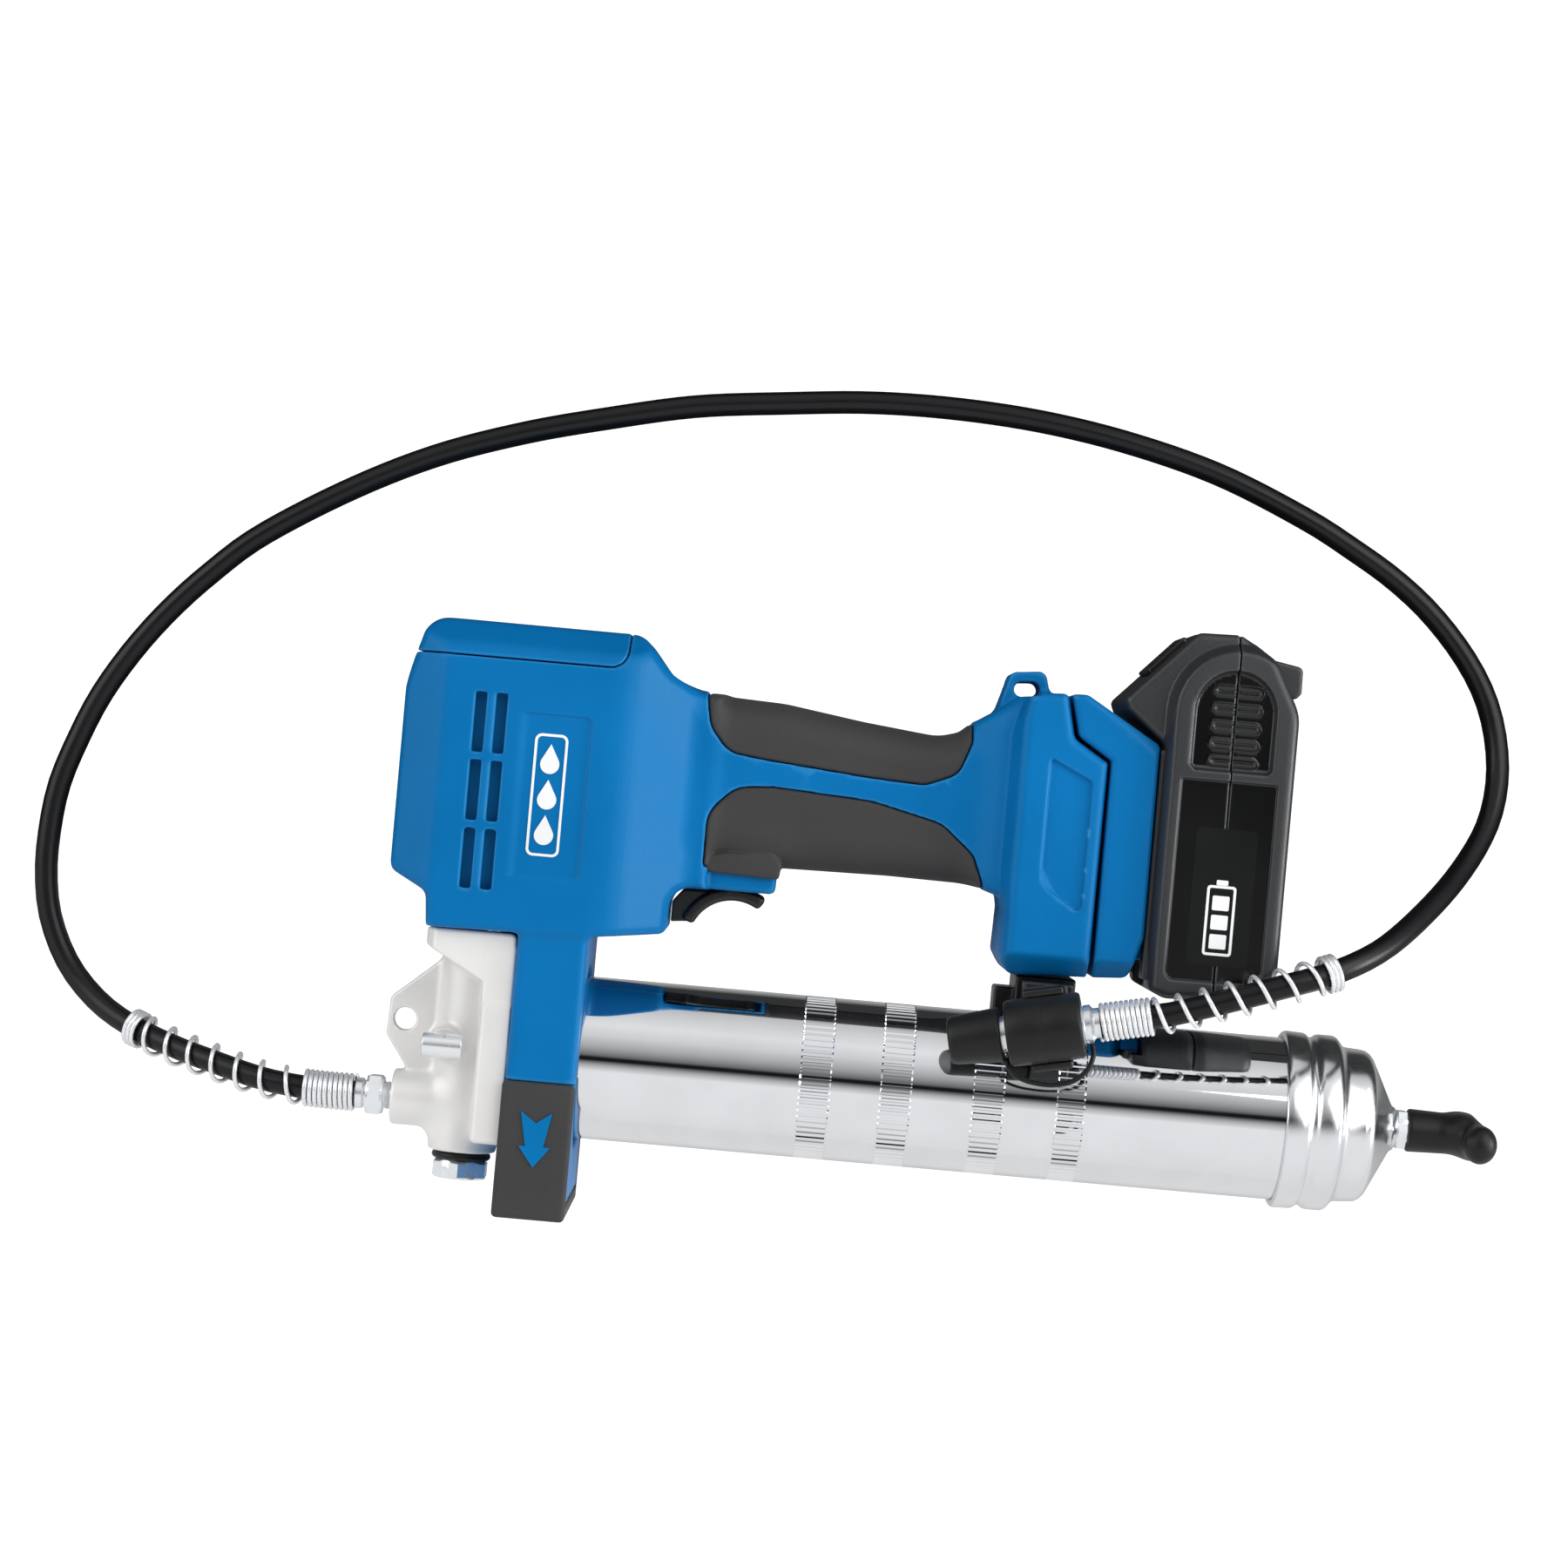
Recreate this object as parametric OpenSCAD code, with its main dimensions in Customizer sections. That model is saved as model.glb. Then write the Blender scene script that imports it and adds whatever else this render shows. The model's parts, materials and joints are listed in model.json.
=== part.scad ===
// Cordless grease gun, lying on its right side.
// Drawn in the tool's own axes: x along the barrel towards the pull handle, y up through the grip,
// z out of the tool's left side, all from the barrel's axis. place() moves them to the part's frame,
// whose origin is under the middle of the tool, on the surface that it lies on.

/* [Barrel] */
// Outside diameter of the grease barrel
tube_od = 57; // [56.8:0.1:57.1]
// Wall of the grease barrel
tube_wall = 1.2; // [1:0.1:1.4]
// Diameter of the plunger rod
rod_d = 7; // [6:0.5:8]
// Wire of the follower spring
spring_wire = 2.2; // [1.8:0.1:2.6]

/* [Housing] */
// Width of the motor housing and of the battery pack
body_w = 76; // [75:0.5:78]
// Wall of the moulded housing
wall = 3; // [2.6:0.1:3.2]
// Width of the grip over its rubber
grip_w = 38; // [37:0.5:40]
// Width of the block behind the grip
block_w = 66; // [64:1:70]
// Width of the column that wraps the barrel
column_w = 72; // [71:0.5:73]
// How far the trigger squeezes
trigger_travel = 6; // [4:0.5:6]

/* [Pump and gears] */
// Diameter of the high pressure piston
piston_d = 8; // [7:0.5:9]
// Stroke of the piston
stroke = 18; // [14:1:18]
// Module of the first gear pair
module_1 = 0.6; // [0.6:0.01:0.61]
// Module of the second gear pair
module_2 = 0.75; // [0.75:0.01:0.76]
// Hole in the hanging lug
lug_hole_d = 8; // [6:0.5:9]

/* [Hose] */
// Outside diameter of the high pressure hose
hose_d = 8.3; // [8:0.1:8.6]
// Outside diameter of the spring guards
guard_d = 13.6; // [13:0.2:14]

/* [Hidden] */
$fn = 64;

// Where the tool stands in the part's frame
body_left = -112.2;
hook_end = 280.2;
foot_bottom = -54.6;
pack_top = 166.9;
ref_x = (body_left + hook_end) / 2;
ref_y = (foot_bottom + pack_top) / 2;
half_w = body_w / 2;
fit = 0.06;      // radial room of a running fit
gap = 0.3;       // room between neighbouring pieces

// Barrel, along x
tube_r = tube_od / 2;
bore_r = tube_r - tube_wall;
tube_start = -62;
tube_end = 209.6;
cap_lip = 204.4;
cap_end = 246;
follower_x = -56;
follower_len = 16;
spring_end = 230;
rod_r = rod_d / 2;

// Pump, along y, and its gears on axes along x
pump_x = -80;
outlet_y = -19.5;
collar_r = 31.9;
crank_y = 72.75;
teeth_1 = [10, 60];
teeth_2 = [12, 56];
idler_y = crank_y + module_2 * (teeth_2[0] + teeth_2[1]) / 2;
motor_y = idler_y + module_1 * (teeth_1[0] + teeth_1[1]) / 2;
motor_r = 20;
shaft_r = 4;
piston_r = piston_d / 2;
bleeder = [-88.1, 1.3];

// Battery pack, and the rails that it slides on
adapter_face = 149.6;
pack_face = 151.3;
pack_split = 174;
pack_back = 196;
rail_y = [52, 92];
rail_x = [152.5, 155.5];
latch_mid = [151.3, 157.7];
latch_tilt = 46.9;

// Coupler: its axis leans up and out of the tool's left side
coupler_mid = [118, 26.4, 39];
coupler_rise = 12.5;
coupler_lift = 7;
coupler_end = 19;       // where its tail ends and the spring guard begins

// Outlines, each corner as [x, y, rounding radius], counter-clockwise
body_outline = [
    [-96.4, 42.6, 1.5], [-40, 43.8, 0], [-14.4, 46.6, 3], [-14.4, 63.2, 7.5], [-2, 63.2, 0],
    [-2, 130.4, 0], [-9, 130.4, 0], [-20.5, 136.5, 0], [-31, 149.4, 10], [-104.2, 149.7, 7],
    [body_left, 124, 8], [body_left, 61.5, 4], [-97.5, 54.5, 4]
];
body_plan = [
    [body_left, -1, 0], [0, -1, 0], [0, 19, 0], [-10, 19, 12], [-36, half_w, 26], [-96, half_w, 7],
    [body_left, 29, 7]
];
grip_outline = [
    [-9, 73.5, 0], [60, 74.5, 0], [96, 74, 0], [96, 128, 0], [85, 123, 3], [50, 122.5, 40], [-9, 127.5, 0]
];
band_outline = [
    [-9, 74, 0], [-4.3, 74, 0], [-4.3, 90, 8], [8, 100, 8], [52.8, 99.5, 30], [78, 93.5, 20], [90, 84, 10],
    [95, 74, 0], [96, 74, 0], [96, 128, 0], [86, 122, 4], [80, 108, 8], [70.7, 105.2, 12],
    [10, 109.7, 12], [-5, 118, 6], [-9, 128, 0]
];
upper_pad = [
    [-7.6, 130.2, 2], [-4.9, 119, 6], [2.4, 112.3, 4], [11.8, 110.1, 8], [52, 106.6, 0],
    [70.7, 105.8, 10], [82, 110.6, 8], [86, 122, 2], [84.6, 126.4, 1.5], [74, 123.4, 8],
    [48, 126, 40], [20, 130, 30], [-2, 129.4, 6]
];
lower_pad = [
    [-4, 73.7, 3], [21.5, 72.3, 0], [23, 74.2, 0], [93.8, 72.4, 0], [89.2, 83.2, 8], [77.6, 93, 14],
    [52.5, 98.9, 40], [18, 100.6, 12], [6.8, 98.6, 6], [-3.8, 88.6, 6]
];
lip_outline = [
    [-3.4, 69.2, 2.5], [22.9, 68.5, 1.5], [23.5, 75, 3], [19.8, 77.9, 3], [3.6, 76.6, 4], [-3.4, 75, 0]
];
guard_outline = [[-14, 63.2, 0], [22, 63.2, 2], [22.3, 74, 0], [-14, 74, 0]];
block_outline = [
    [93.5, 72, 3], [100.8, 65.5, 5], [100.3, 50, 0], [104.5, 43.3, 4], [131.9, 44.7, 0], [132.4, 119.1, 0],
    [120.4, 126.6, 4], [116.8, 141.4, 0], [111.7, 141, 1], [109.4, 149.3, 3], [97.3, 148, 3],
    [93.5, 134, 5], [86.5, 127.5, 2], [86, 118, 0], [93.5, 100, 0]
];
block_core = [
    [94.5, 75, 3], [103.8, 67, 5], [103.3, 51, 0], [106, 46.3, 2], [128.9, 47.7, 0], [129.4, 117.1, 0],
    [117.4, 124.6, 4], [114.1, 137, 0], [102, 136, 1], [95, 124, 3], [94.5, 100, 0]
];
adapter_outline = [
    [132.3, 44.7, 0], [145.5, 45.6, 3], [adapter_face, 60, 3], [adapter_face - 0.2, 126.6, 2],
    [123.2, 141.8, 3], [117.3, 141.6, 0], [121, 127, 4], [133, 119.6, 0]
];
column_x = [-64.6, -40.4];
foot_top = -7.4;
foot_floor = 4.8;
foot_x = [column_x[0] - 0.8, column_x[1] + 0.2];
column_outline = [
    [column_x[0], foot_bottom + foot_floor, 2], [column_x[1], foot_bottom + foot_floor, 2],
    [column_x[1], 46, 0], [column_x[0], 46, 0]
];
foot_outline = [
    [foot_x[0], foot_bottom, 3], [foot_x[1], foot_bottom, 3], [foot_x[1], foot_top, 0],
    [foot_x[0], foot_top, 0]
];
arrow_outline = [
    [-52.4, -36.4, 0], [-47, -29.2, 0], [-49.4, -29.2, 0], [-47.2, -17.3, 0], [-52.5, -21.2, 0],
    [-58, -17.3, 0], [-55.6, -29.2, 0], [-57.9, -29.2, 0]
];
lug_outline = [
    [-90, 30.5, 0], [-92.2, 30.5, 0], [-109.3, 15.6, 3], [-109.8, 2.2, 3], [-101.8, -9, 2], [-90, -14, 0]
];
flange_top = 42.5;
head_x = [-75.4, -64.8];
flange_outline = [
    [head_x[1], 20, 0], [head_x[1], flange_top, 1], [-96.2, flange_top, 1], [-96.2, 36.4, 1],
    [head_x[0], 25, 0], [head_x[0], 20, 0]
];
pack_front_outline = [
    [152, 43, 3], [158, 40, 4], [pack_split, 40.3, 0], [pack_split, pack_top, 0], [159.5, 166.5, 4],
    [136, 141.4, 2.5], [137.6, 138, 1], [pack_face, 127, 3], [pack_face, 60, 0]
];
pack_rear_outline = [
    [pack_split, 40.3, 0], [178, 40.7, 3], [pack_back, 50.5, 5], [pack_back, 145.8, 0], [198.2, 148.5, 1],
    [198, 158, 2], [185.5, 160.5, 2], [180, pack_top, 3], [pack_split, pack_top, 0]
];
pack_front_room = [
    [154.5, 110], [154.5, 134], [160.6, 162.4], [pack_split + 1, 163.4], [pack_split + 1, 43.8],
    [156.5, 43.8], [156.5, 110]
];
pack_rear_room = [
    [pack_split - 1, 43.8], [177.5, 43.8], [192.9, 53], [192.9, 143.5], [178, 158], [pack_split - 1, 163.4]
];

// Hose route from the outlet ferrule to the coupler, in the tool's axes
outlet_run = [
    [-119, -19.5, 0], [-130, -19.5, 0], [-141, -19, -0.5], [-154, -17.5, -3], [-170, -14, -7.5],
    [-187, -10, -14], [-204, -4.5, -21.5]
];
table_run = [
    [-218, 3, -28.5], [-230, 15, -32.5], [-238, 31, -33.8], [-241, 47, -33.8], [-241, 63, -33.8],
    [-239, 79, -33.8], [-234, 95, -33.8], [-227, 112, -33.8], [-217, 129, -33.8], [-205, 145, -33.8],
    [-191, 160, -33.8], [-174, 175, -33.8], [-144, 194, -33.8], [-114, 209, -33.8], [-83, 220, -33.8],
    [-53, 228, -33.8], [-22, 235, -33.8], [10, 239, -33.8], [41, 242, -33.8], [72, 242.5, -33.8],
    [104, 240.5, -33.8], [136, 235.5, -33.8], [169, 227, -33.8], [201, 214, -33.8], [220, 204, -33.8],
    [235, 195, -33.8], [249, 184, -33.8], [262, 170, -33.8], [271, 156, -33.6]
];
rising_run = [
    [276, 141, -32], [277, 125, -27], [273, 109, -18], [263, 93, -4], [249, 78, 14], [232, 64, 33],
    [215, 55, 44], [197, 48.5, 47.5], [180, 42.5, 47.3]
];

// Rounded outlines
function unit(p) = p / norm(p);
function flat(p) = [p.x, p.y];
function corner(a, b, c, n = 6) =
    let (p = flat(b), u = unit(flat(a) - p), v = unit(flat(c) - p), half = acos(u * v) / 2,
        m = p + unit(u + v) * b.z / sin(half), s = p + u * b.z / tan(half) - m,
        e = p + v * b.z / tan(half) - m, turn = 180 - 2 * half)
    [for (i = [0:n]) m + (s * sin(turn * (1 - i / n)) + e * sin(turn * i / n)) / sin(turn)];
function rounded(q) = let (n = len(q))
    [for (i = [0:n - 1]) each q[i].z > 0 ? corner(q[(i + n - 1) % n], q[i], q[(i + 1) % n]) : [flat(q[i])]];
function left_of(d) = [-d.y, d.x];
function inset(q, d) = let (n = len(q))
    [for (i = [0:n - 1]) let (
        a = unit(flat(q[i]) - flat(q[(i + n - 1) % n])), b = unit(flat(q[(i + 1) % n]) - flat(q[i])),
        m = left_of(a) + left_of(b), p = flat(q[i]) + m * d / (1 + left_of(a) * left_of(b)),
        convex = a.x * b.y - a.y * b.x > 0)
        [p.x, p.y, q[i].z == 0 ? 0 : convex ? max(q[i].z - d, 0) : q[i].z + d]];
function arc(c, r, from, to, n = 12) =
    [for (i = [0:n]) c + r * [cos(from + (to - from) * i / n), sin(from + (to - from) * i / n)]];

module place() translate([-ref_x, -ref_y, half_w]) children();
module slab(q, z0, z1) translate([0, 0, z0]) linear_extrude(z1 - z0) polygon(rounded(q));
module along_x(x0, x1) translate([x0, 0, 0]) rotate([90, 0, 90]) linear_extrude(x1 - x0) children();
module along_y(y0, y1) translate([0, y1, 0]) rotate([90, 0, 0]) linear_extrude(y1 - y0) children();
module rod_x(x0, x1, r, y = 0, z = 0) translate([x0, y, z]) rotate([0, 90, 0]) cylinder(r = r, h = x1 - x0);
module rod_y(y0, y1, r, x = 0, z = 0) translate([x, y0, z]) rotate([-90, 0, 0]) cylinder(r = r, h = y1 - y0);
module rod_z(z0, z1, r, x = 0, y = 0) translate([x, y, z0]) cylinder(r = r, h = z1 - z0);
module box(a, b) translate(a) cube(b - a);
module turned_x(points) rotate([0, 90, 0]) rotate_extrude() polygon([for (p = points) [p.y, p.x]]);
module hex_x(x0, x1, across) translate([x0, 0, 0]) rotate([0, 90, 0])
    rotate(30) cylinder(d = across / cos(30), h = x1 - x0, $fn = 6);

// A solid swept along a route: rings of n points, kept from twisting by one fixed side direction
function side(t) = unit(cross(t, abs(t.z) < 0.9 ? [0, 0, 1] : [1, 0, 0]));
function tangent(p, i) = unit(p[min(i + 1, len(p) - 1)] - p[max(i - 1, 0)]);
function ring(c, t, r, n) = let (a = side(t), b = cross(t, a))
    [for (k = [0:n - 1]) c + r * (cos(360 * k / n) * a + sin(360 * k / n) * b)];
function quads(rows, n, from = 0) =
    [for (i = [0:rows - 2]) for (k = [0:n - 1])
        let (p = from + i * n, j = (k + 1) % n) [p + k, p + j, p + n + j, p + n + k]];
module sweep(p, r, n = 8) {
    rows = len(p);
    polyhedron(
        [for (i = [0:rows - 1]) each ring(p[i], tangent(p, i), r, n)],
        concat([[for (k = [n - 1:-1:0]) k]], quads(rows, n), [[for (k = [0:n - 1]) (rows - 1) * n + k]]));
}
module sleeve_sweep(p, r, hole, n = 8) {
    rows = len(p);
    inner = rows * n;
    polyhedron(
        concat([for (i = [0:rows - 1]) each ring(p[i], tangent(p, i), r, n)],
            [for (i = [0:rows - 1]) each ring(p[i], tangent(p, i), hole, n)]),
        concat(quads(rows, n), [for (f = quads(rows, n, inner)) [f[3], f[2], f[1], f[0]]],
            [for (k = [0:n - 1]) [(k + 1) % n, k, inner + k, inner + (k + 1) % n]],
            [for (k = [0:n - 1]) let (e = (rows - 1) * n)
                [e + k, e + (k + 1) % n, inner + e + (k + 1) % n, inner + e + k]]));
}
function helix_x(x0, x1, r, turns, n = 12) =
    [for (i = [0:turns * n]) [x0 + (x1 - x0) * i / (turns * n), r * cos(360 * i / n), r * sin(360 * i / n)]];
function helix_y(c, length, r, turns, n = 10) =
    [for (i = [0:turns * n]) c + [r * cos(360 * i / n), length * i / (turns * n), r * sin(360 * i / n)]];

// Spur gears: involute flanks at a pressure angle that a ten-tooth pinion needs no undercut for
pressure = 26;
function roll(r, base) = let (a = acos(min(1, base / r))) tan(a) * 180 / PI - a;
function tooth(m, z, at) = let (
    pitch = m * z / 2, base = pitch * cos(pressure), tip = pitch + 0.82 * m, root = pitch - 1.1 * m,
    thick = 90 / z - 0.07 / pitch * 180 / PI / 2 + roll(pitch, base), start = max(base, root + 0.02),
    radii = [for (i = [0:3]) start + (tip - start) * i / 3])
    concat([[root, at - thick + roll(start, base)]], [for (r = radii) [r, at - thick + roll(r, base)]],
        [for (i = [3:-1:0]) [radii[i], at + thick - roll(radii[i], base)]],
        [[root, at + thick - roll(start, base)]]);
module gear_2d(m, z, phase = 0) polygon([for (k = [0:z - 1]) for (p = tooth(m, z, 360 * k / z + phase))
    p[0] * [cos(p[1]), sin(p[1])]]);
module gear_x(x0, x1, m, z, y, bore, phase = 0) translate([0, y, 0]) along_x(x0, x1) difference() {
    gear_2d(m, z, phase);
    circle(r = bore);
}

// Coupler frame: its x runs along the coupler towards the hose
module at_coupler() translate(coupler_mid) rotate([0, 0, coupler_rise]) rotate([0, -coupler_lift, 0])
    children();
function coupler_point(d) = coupler_mid + d * [
    cos(coupler_lift) * cos(coupler_rise), cos(coupler_lift) * sin(coupler_rise), sin(coupler_lift)];
coupler_run = [for (d = [44, 32, coupler_end]) coupler_point(d)];
hose_route = concat(outlet_run, table_run, rising_run, coupler_run);

// Screws of the housing: [x, y], and how far each boss reaches from the middle plane into the wall
screw_places = [
    [-105, 72, 31], [-103, 128, 31.5], [-26, 130, 27], [-52, -43.5, 13], [62, 88, 13], [108, 54, 31.5],
    [110, 118, 31.5]
];
plates = [[-40, -37, 30, [58, 136]], [-21.5, -18.5, 21, [58, 110]], [-66, -61, 30, [56, 92]]];
vent_x = [-84, -76.9];
vent_y = [57, 80.4, 103.8];
vent_size = [4, 20.6];
eye_outline = [[98.9, 139, 2.7], [107.8, 139, 2.7], [107.8, 145, 2.7], [98.9, 145, 2.7]];
badge_low = [-71.2, 62.8];
badge_high = [-45.6, 118.4];

// ---- Housing ----
module body_solid() intersection() {
    slab(body_outline, 0, half_w);
    along_y(30, 160) polygon(rounded(body_plan));
}
module body_room() intersection() {
    slab(inset(body_outline, wall), -1, half_w - wall);
    along_y(30, 160) polygon([for (p = rounded(inset(body_plan, wall))) [p.x, p.y < 4 ? -1 : p.y]]);
}
// The half on the +z side; the other half is its mirror image
// A screen stands behind the vents, open at its sides
module vent_screen() difference() {
    box([-88.5, 54.6, 31], [-72.4, 127, 35.2]);
    box([-90, 55.8, 32.2], [-70, 125.8, 36]);
}
module housing_half(screw_r) difference() {
    union() {
        difference() {
            union() {
                body_solid();
                slab(grip_outline, 0, grip_w / 2 - 4);
                slab(band_outline, 0, grip_w / 2 - 0.3);
                slab(guard_outline, 0, 14);
                slab(block_outline, 0, block_w / 2);
                difference() {
                    slab(column_outline, 0, column_w / 2);
                    box([-70, -70, column_w / 2 - 2.6], [-36, foot_top + 0.2, 60]);
                }
            }
            body_room();
            slab(inset(grip_outline, wall), -1, grip_w / 2 - 4 - wall);
            box([-16, 76.5, -1], [8, 120, grip_w / 2 - 4 - wall]);
            box([86, 80, -1], [102, 118, grip_w / 2 - 4 - wall]);
            slab(block_core, -1, block_w / 2 - wall);
            box([126, 60, -1], [134, 110, 20]);
        }
        for (p = plates) box([p[0] - 1.4, p[3][0], p[2] - 2.5], [p[1] + 1.4, p[3][1] - 5, p[2] + 6]);
        for (s = screw_places) rod_z(0, s.z, 3.6, s.x, s.y);
        for (x = [-5, 20]) box([x, 82, switch_w / 2], [x + 3, 100, grip_w / 2 - 6]);
        vent_screen();
    }
    // Trigger slot, barrel hole, pump neck, cover seat, vents, badge seats, strap eye
    box([-13.8, 54, -1], [20.5, 79, 10.4]);
    rod_x(-70, -38, collar_r + 0.2);
    box([-95.6, 40, -1], [column_x[0] + 0.2, 47, 30]);
    slab(cover_seat, -1, 60);
    for (x = vent_x, y = vent_y) translate([x - vent_size.x / 2, y, 34]) cube([vent_size.x, vent_size.y, 9]);
    box([badge_low.x, badge_low.y, half_w - 0.8], [badge_high.x, badge_high.y, 60]);
    slab(eye_outline, -1, 60);
    box([96, 143.8, 12], [114, 160, 60]);
    for (p = plates) box([p[0] - 0.1, p[3][0] - 0.1, -1], [p[1] + 0.1, p[3][1] + 0.1, p[2] + 0.1]);
    for (pad = [upper_pad, lower_pad, lip_outline]) difference() {
        slab(pad, -1, 60);
        slab(grip_outline, -2, grip_w / 2 - 4);
        slab(guard_outline, -2, 14);
    }
    for (s = screw_places) rod_z(-1, screw_r > 2 ? 60 : 11, 1.6, s.x, s.y);
    if (screw_r > 2) for (s = screw_places) rod_z(10, 60, screw_r, s.x, s.y);
}
module housing_left() color("#0873b5") place() housing_half(1.6);
module housing_right() color("#0a6caa") place() mirror([0, 0, 1]) housing_half(3.1);
module housing_screws() color("#8a8f95") place() for (s = screw_places) {
    rod_z(-13.3, -10.1, 3, s.x, s.y);
    rod_z(-10.1, 9.5, 1.5, s.x, s.y);
}
cover_y = 136.6;
cover_seat = [[-120, cover_y, 0], [-35.1, cover_y, 3], [-35.1, 160, 0], [-120, 160, 0]];
module top_cover() color("#0b7cc0") place() difference() {
    for (m = [0, 1]) mirror([0, 0, m]) intersection() {
        body_solid();
        slab(cover_seat, 0, half_w);
    }
    for (m = [0, 1]) mirror([0, 0, m]) intersection() {
        body_room();
        box([-109, 130, -1], [-38.5, 160, 60]);
    }
}
module grip_pad(cut) difference() {
    slab(cut, -grip_w / 2, grip_w / 2);
    slab(grip_outline, 4 - grip_w / 2, grip_w / 2 - 4);
}
module grip_upper() color("#444140") place() grip_pad(upper_pad);
module grip_lower() color("#444140") place() difference() {
    union() {
        grip_pad(lower_pad);
        slab(lip_outline, -17, 17);
    }
    box([-15, 60, -14], [22.3, 74, 14]);
    slab(grip_outline, 4 - grip_w / 2, grip_w / 2 - 4);
}
module battery_adapter() color("#0873b5") place() difference() {
    union() {
        slab(adapter_outline, -block_w / 2, block_w / 2);
        box([adapter_face - 0.4, rail_y[0], -20], [rail_x[0], rail_y[1], 20]);
        box([rail_x[0], rail_y[0], -24], [rail_x[1], rail_y[1], 24]);
    }
    box([126, 62, -20], [146.5, 116, 20]);
    box([145.5, 58, -12], [166, 86, 12]);
    box([124, 116, -24], [141.5, 132, 24]);
}
module adapter_terminals() color("#b98a3a") place() for (z = [-8.5, 0, 8.5]) {
    box([141.5, 62, z - 0.8], [154.3, 82, z + 0.8]);
}
module foot_pad() color("#464648") place() difference() {
    slab(foot_outline, -column_w / 2 - 0.8, column_w / 2 + 0.8);
    box([-80, foot_bottom + foot_floor, -column_w / 2 + 2.5], [-30, 0, column_w / 2 - 2.5]);
}
module foot_arrows() color("#1d8fd1") place() for (s = [0, 1]) mirror([0, 0, s])
    slab(arrow_outline, column_w / 2 + 0.8, column_w / 2 + 1.2);

// ---- Trigger and electrics ----
trigger_hub = [8.2, 44.7];
trigger_root = [
    [-13.6, 50.6, 0.5], [-8, 51.2, 0], [-6, 58, 0], [0, 62.4, 0], [-10, 62.4, 3], [-13.6, 58, 3]
];
module trigger() color("#2a2b2d") place() {
    translate([0, 0, -9.5]) linear_extrude(19)
        polygon(concat(arc(trigger_hub, 19.6, 56, 158), arc(trigger_hub, 15, 158, 56)));
    slab(trigger_root, -9.5, 9.5);
    box([-2, 62.6, -6], [14, 68.5, 6]);
    box([3, 68.5, -3], [9, 72.4, 3]);
}
module trigger_spring() color("#9aa0a6") place()
    sweep(helix_y([-4.5, 68.9, 0], 7.4, 2, 4), 0.35, 6);
switch_w = 18;
module trigger_switch() color("#18191b") place() {
    difference() {
        box([-7.5, 80, -switch_w / 2], [26, 103, switch_w / 2]);
        box([-8, 92, -7], [4, 104, 7]);
    }
    box([3.5, 72.7 + trigger_travel, -2.5], [8.5, 80.1, 2.5]);
}
module control_board() color("#1e5b3a") place() {
    box([108, 62, -22], [109.6, 112, 22]);
    for (y = [68, 80, 92]) box([109.6, y, -14], [114, y + 7, -6]);
    rod_x(109.6, 118, 4, 76, 8);
    rod_x(109.6, 118, 4, 92, 8);
}
module wiring() color("#b02a24") place() for (z = [-5, 5]) {
    sweep([[26.8, 90, z], [40, 98, z], [60, 101, z], [80, 99, z], [95, 97, z], [107.8, 97, z]], 1.1, 6);
}

// ---- Motor and gear train ----
module motor_can() color("#8f949a") place() difference() {
    rod_x(-88, plates[0][0], motor_r, motor_y);
    rod_x(-89, plates[0][0] - 2, motor_r - 1.6, motor_y);
    rod_x(-50, -30, 3.2, motor_y);
}
module motor_end_bell() color("#2c2d30") place() difference() {
    rod_x(-90.2, -88.1, motor_r, motor_y);
    rod_x(-95, -80, 2.2, motor_y);
    for (a = [45:90:315]) rod_x(-95, -80, 3, motor_y + 12 * cos(a), 12 * sin(a));
}
module motor_rotor() color("#b06a35") place() {
    rod_x(-98, -26, 2, motor_y);
    rod_x(-82, -50, 16.5, motor_y);
    rod_x(-87, -82, 7, motor_y);
}
module motor_fan() color("#202124") place() difference() {
    union() {
        rod_x(-92.6, -91, 24, motor_y);
        rod_x(-97.5, -91, 5, motor_y);
        for (a = [0:30:330]) translate([0, motor_y, 0]) rotate([a, 0, 0])
            box([-97, 6, -0.7], [-91, 23, 0.7]);
    }
    rod_x(-100, -80, 2, motor_y);
}
module motor_pinion() color("#8a8d90") place() gear_x(-35.5, -29, module_1, teeth_1[0], motor_y, 2);
module motor_plate() color("#a9adb2") place() difference() {
    box([plates[0][0], plates[0][3][0], -plates[0][2]], [plates[0][1], plates[0][3][1], plates[0][2]]);
    rod_x(-50, -30, 6, motor_y);
    rod_x(-50, -30, 3 + fit, idler_y);
    rod_x(-50, -30, 9, crank_y);
}
module end_plate() color("#a9adb2") place() difference() {
    box([plates[1][0], plates[1][3][0], -plates[1][2]], [plates[1][1], plates[1][3][1], plates[1][2]]);
    rod_x(-30, -10, 3 + fit, idler_y);
    rod_x(-30, -10, 9, crank_y);
}
module crank_support() color("#a9adb2") place() difference() {
    box([plates[2][0], plates[2][3][0], -plates[2][2]], [plates[2][1], plates[2][3][1], plates[2][2]]);
    rod_x(-70, -55, 9, crank_y);
}
module idler_gear() color("#c2a15a") place() {
    gear_x(-35, -29.2, module_1, teeth_1[1], idler_y, 2.9, 180 / teeth_1[1]);
    gear_x(-29.2, -22.6, module_2, teeth_2[0], idler_y, 2.9);
    rod_x(-40, -18.5, 3, idler_y);
}
module crank_gear() color("#9a8a5e") place() difference() {
    gear_x(-28, -23.2, module_2, teeth_2[1], crank_y, shaft_r, 180 / teeth_2[1]);
    for (a = [30:60:330]) rod_x(-40, -10, 3.5, crank_y + 12.5 * cos(a), 12.5 * sin(a));
}
module crankshaft() color("#8a8d90") place() {
    rod_x(-68.2, -18.5, shaft_r, crank_y);
    rod_x(-72, -68, 14, crank_y);
    rod_x(-74.8, -72, 3, crank_y, stroke / 2);
}
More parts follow.
